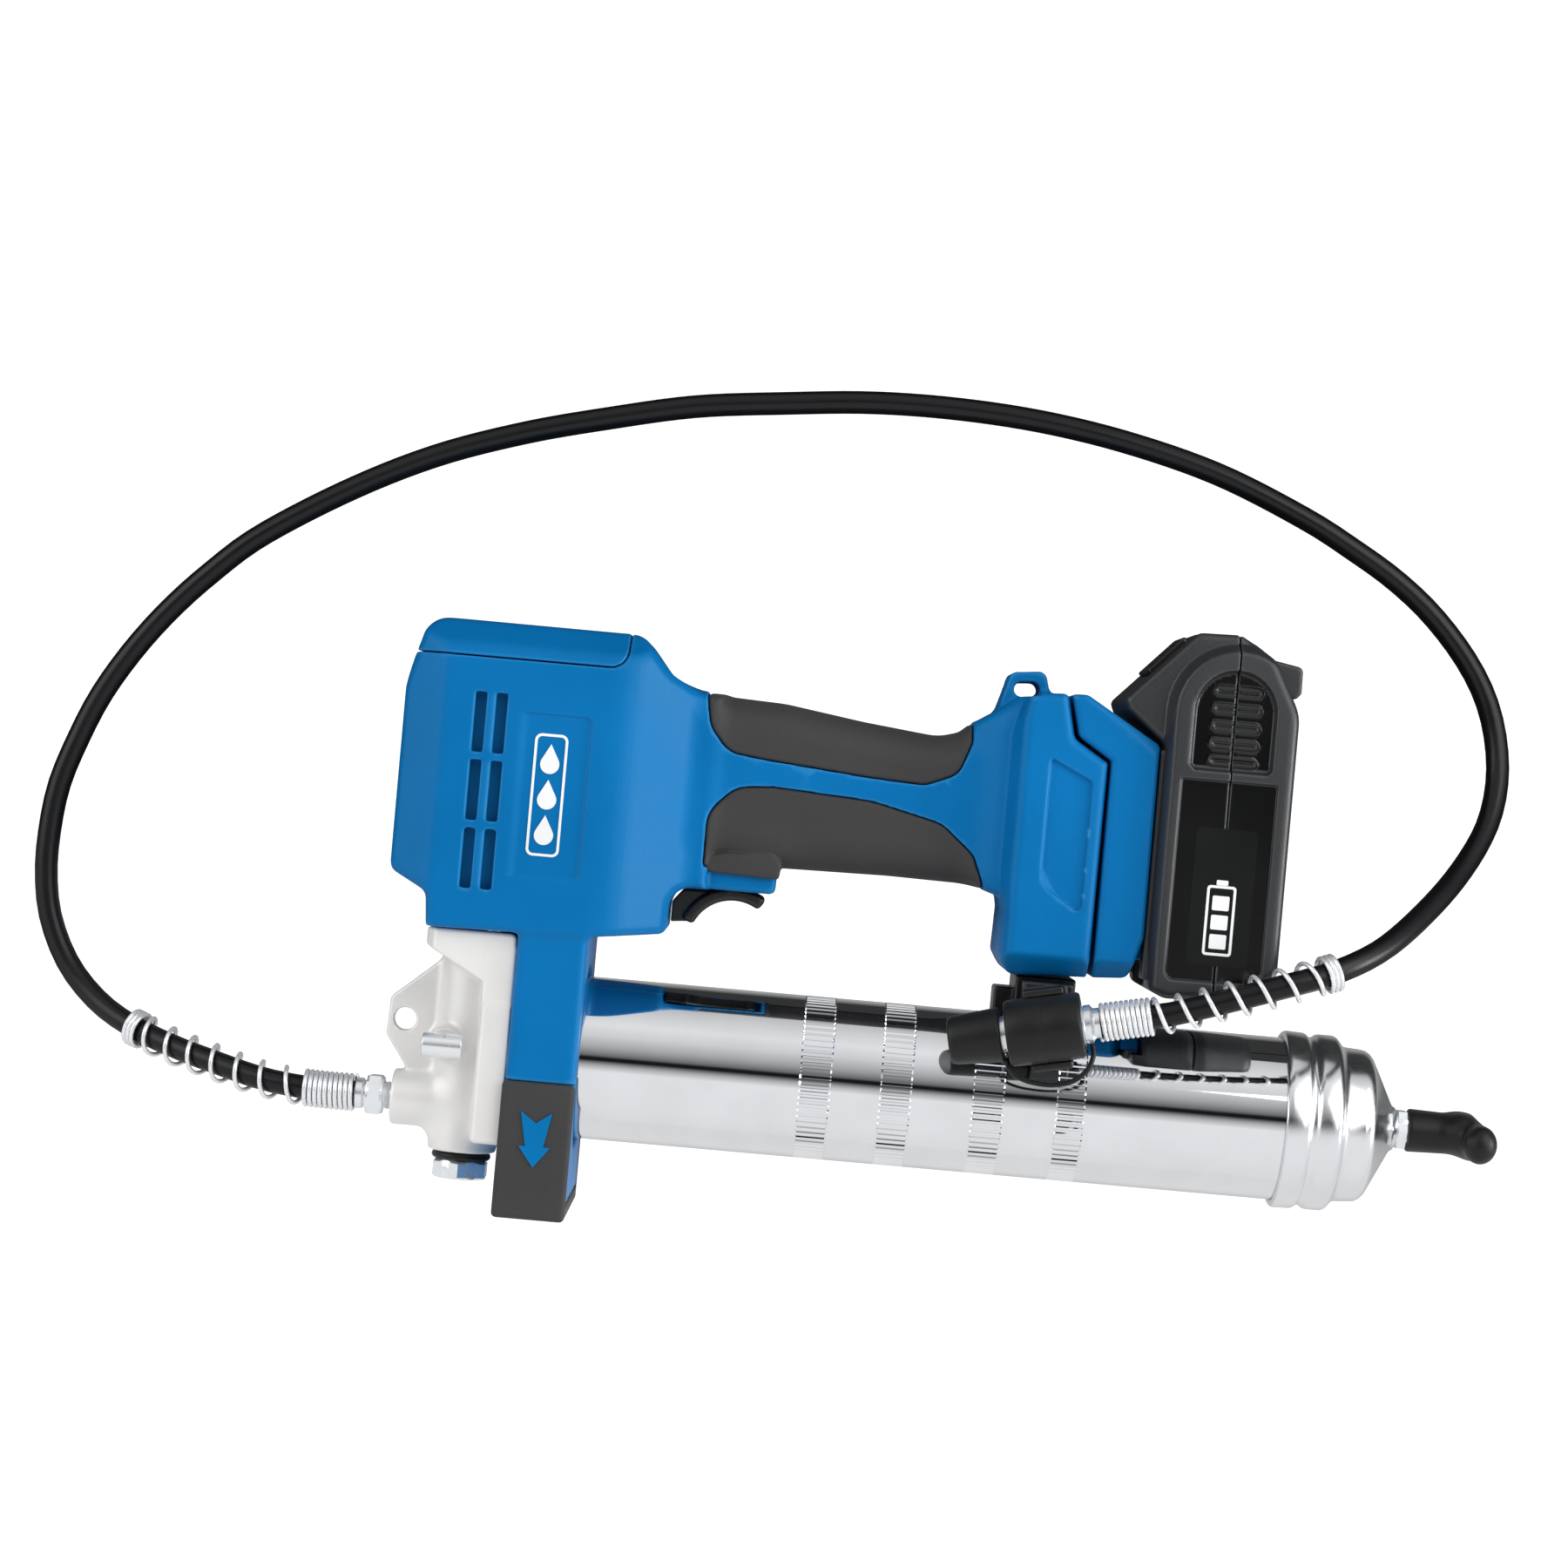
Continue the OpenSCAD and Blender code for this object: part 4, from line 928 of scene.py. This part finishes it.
def make_barrel_cap():
    """The pressed cap: a rolled lip, a groove, a bead, a collar and a cone."""
    lip = [(204.4, 28.7), (204.4, 30.2), (204.8, 30.8), (205.6, 31.1), (206.6, 31.1), (211.6, 30.9),
           (212.5, 30.5)]
    bead = [(213.2, 29.8), (213.9, 29.5), (214.8, 29.6), (215.4, 30), (216.2, 30.6), (217.2, 30.8),
            (222, 30.8), (223.2, 30.3), (224.2, 29.2)]
    collar = [(225, 28.1), (225.8, 27.4), (226.8, 27.1), (232, 26.8), (233.8, 26.5), (235.2, 25.7)]
    cone = [(236.4, 24.3), (244, 9.6), (244.8, 8.2), (246, 7.4)]
    inner = [(246, 3.6), (237.6, 3.6), (237.6, 12), (232.4, 24.2), (224, 25.4), (210.2, 26.6),
             (210.2, 28.6)]
    piece = spun("cap_chrome", lip + bead + collar + cone + inner, X_AXIS, 128, "chrome_satin", "barrel",
                 "barrel_cap", 35)


def make_rod_end():
    mesh = nut(X_AXIS, 246.3, 250.7, 13, 3.5, 0.7)
    finish_mesh("handle_nut", *mesh, "zinc", "plunger", "rod_nut", sharp=25)
    g = Grid((250.6, -9.5, -7.7), (281, 9.5, 20.2), 0.35)
    taper = common(np.hypot(g.y, g.z) - 7.6 + 0.03 * (g.x - 250.7), np.maximum(250.7 - g.x, g.x - 273), 1.0)
    reach = np.clip(g.z, -0.5, 14.4)
    knob = np.sqrt((g.x - 274.4) ** 2 + ((g.y + 1.9) / 1.16) ** 2 + (g.z - reach) ** 2) - 5.8
    hump = np.sqrt((g.x - 269) ** 2 + ((g.y - 1) / 1.1) ** 2 + (g.z - np.clip(g.z, -1, 4)) ** 2) - 6
    d = join(join(taper, knob, 4), hump, 3)
    d = cut(d, rod_x(g, 240, 272, 3.5))
    moulded("handle_rubber", g, d, "black_rubber", "plunger", "rod_handle")


SPRING_R = 21.5


def make_follower_spring():
    turns = 15
    angle = np.linspace(0, 2 * math.pi * turns, turns * 24 + 1)
    start, end = -51.6, 230
    along = start + (end - start) * angle / angle[-1]
    path = np.stack([along, SPRING_R * np.cos(angle), SPRING_R * np.sin(angle)], 1)
    spring = finish_mesh("follower_coil", *tube(path, 1.1, 8), "spring_steel", "barrel", "follower_spring")
    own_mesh(spring)


# ---- Support and coupler ----
COUPLER_SIDE = np.array([-math.sin(COUPLER_RISE), math.cos(COUPLER_RISE), 0.0])
COUPLER_UP = np.cross(COUPLER_WAY, COUPLER_SIDE)


def at_coupler(points):
    """Points given along, across and out of the coupler, in the tool's axes."""
    return COUPLER_MID + np.asarray(points, float) @ [COUPLER_WAY, COUPLER_SIDE, COUPLER_UP]


def coupler_axes(g):
    """A grid's points along, across and out of the coupler."""
    x, y, z = g.x - COUPLER_MID[0], g.y - COUPLER_MID[1], g.z - COUPLER_MID[2]
    return [x * a[0] + y * a[1] + z * a[2] for a in (COUPLER_WAY, COUPLER_SIDE, COUPLER_UP)]


def make_support():
    """The bracket between grip block and barrel, and the clip that holds the coupler."""
    g = Grid((101, 19, -17), (129.2, 43.3, 17), 0.45)
    d = box(g, (108, 10, -17), (129, 43.1, 17), 0.9)
    d = join(d, box(g, (101.3, 10, -9), (110, 38.2, 9), 0.9), 0.5)
    d = cut(d, rod_x(g, 90, 140, TUBE_R + 0.3), 0.4)
    moulded("support_bracket", g, d, "black_plastic", "tool", "handle_support")
    g = Grid((104, 10, 16.8), (128, 43, 47), 0.45)
    along, across, out = coupler_axes(g)
    d = rod(across, out, along, -6, 8, 14.2, (0, 0), 0.8)
    d = join(d, box(g, (110, 28, 17.1), (127, 42, 34), 0.8), 1.5)
    d = cut(d, np.hypot(across, out) - 11.8, 0.4)
    d = cut(d, overlap(3 - out, np.abs(across - 1) - 15, np.abs(along) - 20), 0.5)
    d = cut(d, rod_x(g, 90, 140, TUBE_R + 0.3), 0.4)
    d = np.maximum(d, g.z - 46)
    moulded("coupler_cradle", g, d, "black_plastic", "tool", "coupler_clip")


def make_coupler():
    place = axes_at(COUPLER_MID, COUPLER_WAY)
    body = [(-30, 3.3), (-30, 5.8), (-29.4, 6.2), (-13.6, 6.2), (-13.6, 7), (13.3, 7), (13.3, 6.1),
            (13.9, 6.6), (16, 6.6), (16.6, 5.6), (17.2, 5.2), (19, 5.2), (19, 0.01), (-20, 0.01),
            (-20, 3.3)]
    spun("coupler_steel", body, place, 72, "zinc", "tool", "coupler_body", 30)
    sleeve = [(-13, 7.1), (-13, 10.7), (-12.6, 11.1), (-12, 11.35), (-6, 11.5), (-0.35, 11.5), (0, 11.38),
              (0.35, 11.5), (6, 11.5), (12, 11.35), (12.6, 11.1), (13, 10.7), (13, 7.1)]
    spun("coupler_grip", sleeve, place, 96, "black_rubber", "tool", "coupler_sleeve", 50)
    cap = [(-33, 0.01), (-33, 7.2), (-32.8, 7.7), (-32.2, 8.1), (-31, 8.4), (-16, 9.45), (-15.4, 9.4),
           (-15, 9), (-15, 6.3), (-30.2, 6.3), (-30.2, 0.01)]
    spun("nozzle_cap", cap, place, 96, "black_rubber", "cap", "dust_cap", 50)


LANYARD = [
    [-14.2, -8.2, 1], [-13.9, -11.5, 1.6], [-11.5, -14.6, 2], [-7, -17.2, 2], [0, -19, 2], [7, -18.6, 2],
    [12.5, -15.4, 2], [15.2, -11, 1], [15.4, -7, 0]]


def make_lanyard():
    line, _, _ = smooth_path(at_coupler(LANYARD), 0.7)
    mesh = tube(line, 0.9, 12)
    strap = finish_mesh("cap_strap", *mesh, "black_rubber", None, "cap_lanyard")
    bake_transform(strap)


# ---- Hose ends ----
GUARD_R = 5.95
GUARD_WIRE = 0.82


def make_hose_ends():
    outlet = axes_at((0, OUTLET_Y, 0), (1, 0, 0))
    thread = [(-110, 2.2), (-110, 4.4)]
    for k in range(12):
        thread += [(-109.6 + 1.5 * k, 4.5), (-108.9 + 1.5 * k, 5.0)]
    thread += [(-91.5, 4.5), (-91.5, 2.2)]
    mesh = add([turned(thread, outlet, 48), nut(outlet, -115, -109, 13.4, 2.3, 1)])
    finish_mesh("outlet_nut", *mesh, "zinc", "tool", "outlet_fitting", sharp=25)
    ferrule = [(-119, 2), (-119, 5), (-118.6, 5.4), (-116.4, 5.4), (-115.6, 4.6), (-115, 4.6), (-115, 2)]
    spun("outlet_ferrule", ferrule, outlet, 64, "zinc", "tool", "hose_ferrule", 30)
    from_coupler = [coupler_point(d) for d in (19, 32, 44)] + RISING_RUN[:5:-1]
    guards = (("outlet", OUTLET_RUN, [(18, 10.2), (66, 7), (5, 3)]),
              ("coupler", from_coupler, [(18, 10.4), (60, 6.8), (5, 3)]))
    for end, path, pitches in guards:
        wire = coil(path, pitches, GUARD_R, 20)
        finish_mesh(f"{end}_coil", *tube(wire, GUARD_WIRE, 8), "spring_steel", "tool", f"{end}_guard")


# ---- Trigger ----
TRIGGER_ROOT = [
    [-13.6, 50.6, 0.5], [-8, 51.2, 0], [-6, 58, 0], [0, 62.4, 0], [-10, 62.4, 3], [-13.6, 58, 3]]


def make_trigger():
    g = Grid((-14, 48, -9.6), (22.5, 72.6, 9.6), 0.35)
    reach = np.hypot(g.x - 8.2, g.y - 44.7)
    swing = np.abs(np.arctan2(g.y - 44.7, g.x - 8.2) - math.radians(107)) - math.radians(51)
    blade = common(np.abs(reach - 17.3) - 2.3, swing * 17.3, 1.5)
    blade = common(blade, np.abs(g.z) - 9.5, 1.6)
    root = extruded(g, TRIGGER_ROOT, 8.2, 0.5)
    d = join(blade, join(root, box(g, (-2, 61, -6), (14, 68.5, 6), 0.5), 0.8), 0.4)
    d = np.minimum(d, box(g, (3, 68, -3), (9, 72.4, 3), 0.3))
    moulded("trigger_blade", g, d, "black_plastic", "trigger_body", "trigger")


# ---- Battery pack ----
PACK_HALF = 38
PACK_SKIN = 31.5
ROOM_HALF = 33
PACK_SPLIT = 174
PACK_WALL = 1.8
PACK_OUTLINE = [
    [152, 43, 3], [158, 40.3, 4], [178, 40.7, 3], [195.8, 50.5, 5], [195.8, 141, 16], [186.4, 159, 6],
    [180, 163.6, 2], [174, 166.9, 3], [159.5, 166.5, 4], [136, 141.6, 2.5], [137.6, 138, 1],
    [151.3, 127, 3], [151.3, 60, 0]]
BAND = [[153.6, 41.5, 6], [157.6, 36, 0], [196.4, 36, 0]] + [
    [x, y, 0] for x, y in arc((174.9, 139.3), 21.4, 0, 180, 18)]
ARCH = [[159.5, 118, 0], [187.9, 118, 0]] + [
    [x, y, 0] for x, y in arc((173.7, 140.2), 14.2, 0, 180, 18)]
PANEL = [[157, 47, 3], [190.3, 47, 5], [190.3, 116.5, 1], [157, 116.5, 1]]
FRONT_ROOM = [
    [154.5, 110, 0], [154.5, 134, 0], [164.5, 162.2, 0], [175, 163, 0], [175, 43.8, 0], [156.5, 43.8, 0],
    [156.5, 110, 0]]
REAR_ROOM = [[173, 43.8, 0], [177.5, 43.8, 0], [192.9, 53, 0], [192.9, 139, 0], [178, 156.6, 0],
             [173, 160, 0]]
RIB_Y = [122.8 + 6.1 * k for k in range(5)]
ARCH_FLOOR = 34.6
PANEL_FLOOR = 36.7
LATCH_MID = (151.3, 157.7)
LATCH_TILT = math.radians(46.9)
TAB = [[180, 150, 0], [196.3, 146.9, 1], [198, 149, 1], [197.8, 158, 2], [184, 160.4, 2], [180, 160, 0]]


def pack_field(g):
    depth = np.abs(g.z)
    skin = extruded(g, PACK_OUTLINE, PACK_SKIN, 2.4)
    whole = extruded(g, PACK_OUTLINE, PACK_HALF, 3.2)
    band = common(flat(g, BAND) + 0.45 * (depth - PACK_HALF), whole, 1.0)
    d = join(skin, band, 0.6)
    tab = extruded(g, TAB, 20, 1.2)
    d = join(d, tab, 0.6)
    arch = flat(g, ARCH) + 0.25 * (PACK_HALF - depth)
    panel = flat(g, PANEL) + 0.3 * (PACK_HALF - depth)
    return d, arch, panel


def latch_axes(g):
    """A grid's points along the sloping nose and out of it, from the middle of the latch."""
    c, s = math.cos(LATCH_TILT), math.sin(LATCH_TILT)
    x, y = g.x - LATCH_MID[0], g.y - LATCH_MID[1]
    return x * c + y * s, y * c - x * s


def make_pack():
    """Two shells: what the camera sees of the front one is the nose, the rim and half of the recesses."""
    g = Grid((132, 40, -PACK_HALF), (198.2, 167, PACK_HALF), 0.6)
    depth = np.abs(g.z)
    d, arch, panel = pack_field(g)
    # The floor rises from the arch to the panel over a short slope
    floor = np.clip(PANEL_FLOOR - (g.y - 116) * (PANEL_FLOOR - ARCH_FLOOR) / 5, ARCH_FLOOR, PANEL_FLOOR)
    widen = np.clip((121 - g.y) / 5, 0, 1)
    side = arch * (1 - widen) + panel * widen
    side = np.where(g.y > 121, arch, np.where(g.y < 116, panel, side))
    d = cut(d, np.maximum(side, floor - depth), 0.35)
    for y in RIB_Y:
        along = np.clip(g.x, 167.6, 181)
        ring = np.abs(np.hypot(g.x - along, g.y - y) - 1.25) - 0.36
        d = join(d, overlap(ring, ARCH_FLOOR - 1 - depth, depth - ARCH_FLOOR - 0.75), 0.35)
    strip = box(g, (149.9, 46, -31), (154, 125, 31), 0.5)
    seam = PACK_SPLIT - 0.004 * (g.y - 100)
    front = join(d, strip, 0.2)
    front = common(front, g.x - seam + 0.16, 0.35)
    room = extruded(g, FRONT_ROOM, ROOM_HALF)
    ribs = np.maximum(box(g, (150, 48, -60), (166.2, 112, 60)), 24 - depth)
    room = overlap(room, -ribs, d + PACK_WALL)
    for y in (60, 80, 100):
        room = np.minimum(room, rod_z(g, -32.6, 32.6, 9.2, 166.2, y))
    front = cut(front, room)
    for low, high in (((140, 30, -20.3), (152.8, 97, 20.3)), ((152.2, 30, -24.3), (155.8, 97, 24.3)),
                      ((152.5, 56, -12), (157.5, 86, 12))):
        front = cut(front, box(g, low, high), 0.2)
    along, out = latch_axes(g)
    front = cut(front, overlap(np.abs(along) - 9.4, -5 - out, out - 8, depth - 16.4), 0.4)
    shells = [moulded("pack_front", g, front, "pack_grey", "battery", "battery_front_shell")]
    rear = common(d, seam + 0.16 - g.x, 0.35)
    rear = cut(rear, np.maximum(extruded(g, REAR_ROOM, ROOM_HALF), d + PACK_WALL))
    shells.append(moulded("pack_rear", g, rear, "pack_grey", "battery", "battery_rear_shell"))
    for shell in shells:
        gloss_recess(shell)
    g = Grid((142, 148, -16), (161, 168, 16), 0.35)
    along, out = latch_axes(g)
    plan = common(np.abs(along) - 9, np.abs(g.z) - 16, 1.4)
    d = common(plan, np.maximum(-1.2 - out, out - 1.8), 0.5)
    for place in (-5, 0, 5):
        d = cut(d, overlap(np.abs(along - place) - 0.6, 1.1 - out, np.abs(g.z) - 13), 0.2)
    moulded("latch_button", g, d, "black_plastic", "latch", "battery_latch")


def gloss_recess(shell):
    """The floors of the side's recesses are polished."""
    shell.data.materials.append(LOOKS["pack_gloss"])
    for face in shell.data.polygons:
        x, y, z = (np.array(face.center) - ORIGIN) / MM
        level = abs(face.normal.z) > 0.9 and 33.5 < abs(z) < PANEL_FLOOR + 0.2
        in_panel = 157.5 < x < 190 and 47.5 < y < 116
        in_arch = 159.8 < x < 187.6 and 121 < y < 154 and math.hypot(x - 173.7, max(y - 140.2, 0)) < 15
        if level and (in_panel or in_arch):
            face.material_index = 1


def make_label():
    """A dark sticker with a battery sign: an outline, its pole and three bars of charge."""
    low = PANEL_FLOOR - 0.3
    sticker = plate(rounded(oblong((163.8, 53), (185, 100), 1.5)), low, PANEL_FLOOR + 0.15)
    piece = finish_mesh("pack_sticker", *sticker, "pack_label", "battery", sharp=30)
    middle = (174.2, 68.5)
    top = PANEL_FLOOR + 0.28
    parts = [ring_plate(frame_loop(middle, (5, 12), 1.2), frame_loop(middle, (4.1, 11.1), 0.6), low, top),
             plate(frame_loop((middle[0], middle[1] + 13), (2, 0.9), 0.4), low, top)]
    for k in range(3):
        parts.append(plate(frame_loop((middle[0], middle[1] - 7.2 + 6.6 * k), (2.9, 2.5), 0.5), low, top))
    piece = finish_mesh("pack_sign", *add(parts), "label_white", "battery", sharp=30)


# ---- Hose ----
def make_hose():
    """The hose as one curve through its route."""
    curve = bpy.data.curves.new("hose_line", "CURVE")
    curve.dimensions = "3D"
    curve.bevel_depth = HOSE_D / 2 * MM
    curve.bevel_resolution = 6
    curve.use_fill_caps = True
    curve.resolution_u = 1
    line, _, stops = smooth_path(HOSE_ROUTE, 6)
    spline = curve.splines.new("POLY")
    spline.points.add(len(line) - 1)
    for point, place in zip(spline.points, row(line)):
        point.co = (*place, 1)
    curve.materials.append(LOOKS["hose_black"])
    piece = placed("hose_line", curve)
    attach(piece, "tool")
    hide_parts("hose")
    return piece, stops[-1] * MM, row(line[0])


def main():
    make_housing(0.8)
    make_top_cover(0.6)
    make_grip_pads(0.6)
    make_foot()
    make_badge()
    make_adapter()
    make_pump_head()
    make_plug()
    make_bleeder()
    make_barrel_tube()
    make_barrel_cap()
    make_rod_end()
    make_follower_spring()
    make_support()
    make_coupler()
    make_lanyard()
    make_hose_ends()
    make_trigger()
    make_pack()
    make_label()
    hose, length, start = make_hose()


main()


# ---- Studio ----
CAMERA_OVER = (21.75, 102.0)      # the camera stands over this point of the tool, in its millimetres
CAMERA_UP = 1300                  # and this far above the tool's middle plane
CAMERA_TURN = math.radians(5.07)
FRAME_WIDTH = 552.2               # what the frame takes in at the middle plane
SENSOR = 36
TENT = [(-90, 0.85), (-60, 0.9), (-14, 0.92), (-5, 0.45), (1.5, 0.01), (5.5, 0.01), (9, 0.18), (20, 0.45),
        (37, 0.75), (54, 0.9), (74, 0.75), (90, 0.6)]
TABLE = [(0, 0.82), (0.15, 0.8), (0.6, 0.12), (0.66, 0.4), (0.72, 0.35), (0.82, 0.04)]


def make_floor():
    """White for the camera, and for everything else a table whose far side lies in shade."""
    mesh = bpy.data.meshes.new("floor")
    mesh.from_pydata([(-6, -6, 0), (6, -6, 0), (6, 6, 0), (-6, 6, 0)], [], [(0, 1, 2, 3)])
    s = Shader("floor_white")
    seen = s.nodes.new("ShaderNodeLightPath").outputs["Is Camera Ray"]
    split = s.nodes.new("ShaderNodeSeparateXYZ")
    s.links.new(s.nodes.new("ShaderNodeNewGeometry").outputs["Position"], split.inputs[0])
    axis = float(row([0, 0, 0])[1])
    across = s.spread(split.outputs["Y"], 0, 1, axis - 0.1, axis + 0.1)
    shade = grey_ramp(s.nodes, s.links, across, TABLE)
    level = s.nodes.new("ShaderNodeMix")
    s.links.new(seen, level.inputs[0])
    s.links.new(shade, level.inputs[2])
    level.inputs[3].default_value = 1.2
    s.set(Base_Color=(0, 0, 0, 1), Roughness=1.0, Specular_IOR_Level=0.0, Emission_Color=(1, 1, 1, 1),
          Emission_Strength=level.outputs[0])
    mesh.materials.append(s.material)
    floor = placed("floor", mesh)
    floor.location.z = -0.0005


def make_world():
    """A light tent, brightest low on the near side, with one narrow dark gap overhead."""
    world = bpy.data.worlds.new("light_tent")
    bpy.context.scene.world = world
    world.use_nodes = True
    nodes, links = world.node_tree.nodes, world.node_tree.links
    place = nodes.new("ShaderNodeTexCoord")
    split = nodes.new("ShaderNodeSeparateXYZ")
    links.new(place.outputs["Generated"], split.inputs[0])
    angle = nodes.new("ShaderNodeMath")
    angle.operation = "ARCTAN2"
    links.new(split.outputs["Y"], angle.inputs[0])
    links.new(split.outputs["Z"], angle.inputs[1])
    share = nodes.new("ShaderNodeMapRange")
    share.inputs["From Min"].default_value = -math.pi / 2
    share.inputs["From Max"].default_value = math.pi / 2
    links.new(angle.outputs[0], share.inputs["Value"])
    tent = grey_ramp(nodes, links, share.outputs["Result"], [((a + 90) / 180, level) for a, level in TENT])
    links.new(tent, nodes["Background"].inputs["Color"])
    nodes["Background"].inputs["Strength"].default_value = 1.0


def make_light(name, place, target, size, power):
    light = bpy.data.lights.new(name, "AREA")
    light.shape = "RECTANGLE"
    light.size, light.size_y = size
    light.energy = power
    lamp = placed(name, light)
    lamp.location = place
    lamp.rotation_euler = (Vector(target) - Vector(place)).to_track_quat("-Z", "Y").to_euler()


def make_camera():
    camera = bpy.data.cameras.new("camera")
    camera.sensor_width = SENSOR
    camera.lens = SENSOR * CAMERA_UP / FRAME_WIDTH
    holder = placed("camera", camera)
    holder.location = row([CAMERA_OVER[0], CAMERA_OVER[1], CAMERA_UP])
    holder.rotation_euler = (0, 0, CAMERA_TURN)
    bpy.context.scene.camera = holder


make_floor()
make_world()
make_light("key", (1.1, 0.7, 1.2), (0, 0, 0), (1.4, 1.4), 15)
make_light("side", (-1.4, 0.5, 0.9), (0, 0, 0), (1.2, 1.2), 8.5)
make_light("low", (1.5, 0.05, 0.5), (0, 0, 0), (0.6, 0.4), 12)
make_camera()
bpy.context.scene.view_settings.view_transform = "Standard"

for part in frame["record"]["subparts"]:
    node = frame["nodes"][part["node"]]
    node.data.materials.clear()
    node.data.materials.append(LOOKS[part["material_slot"]])
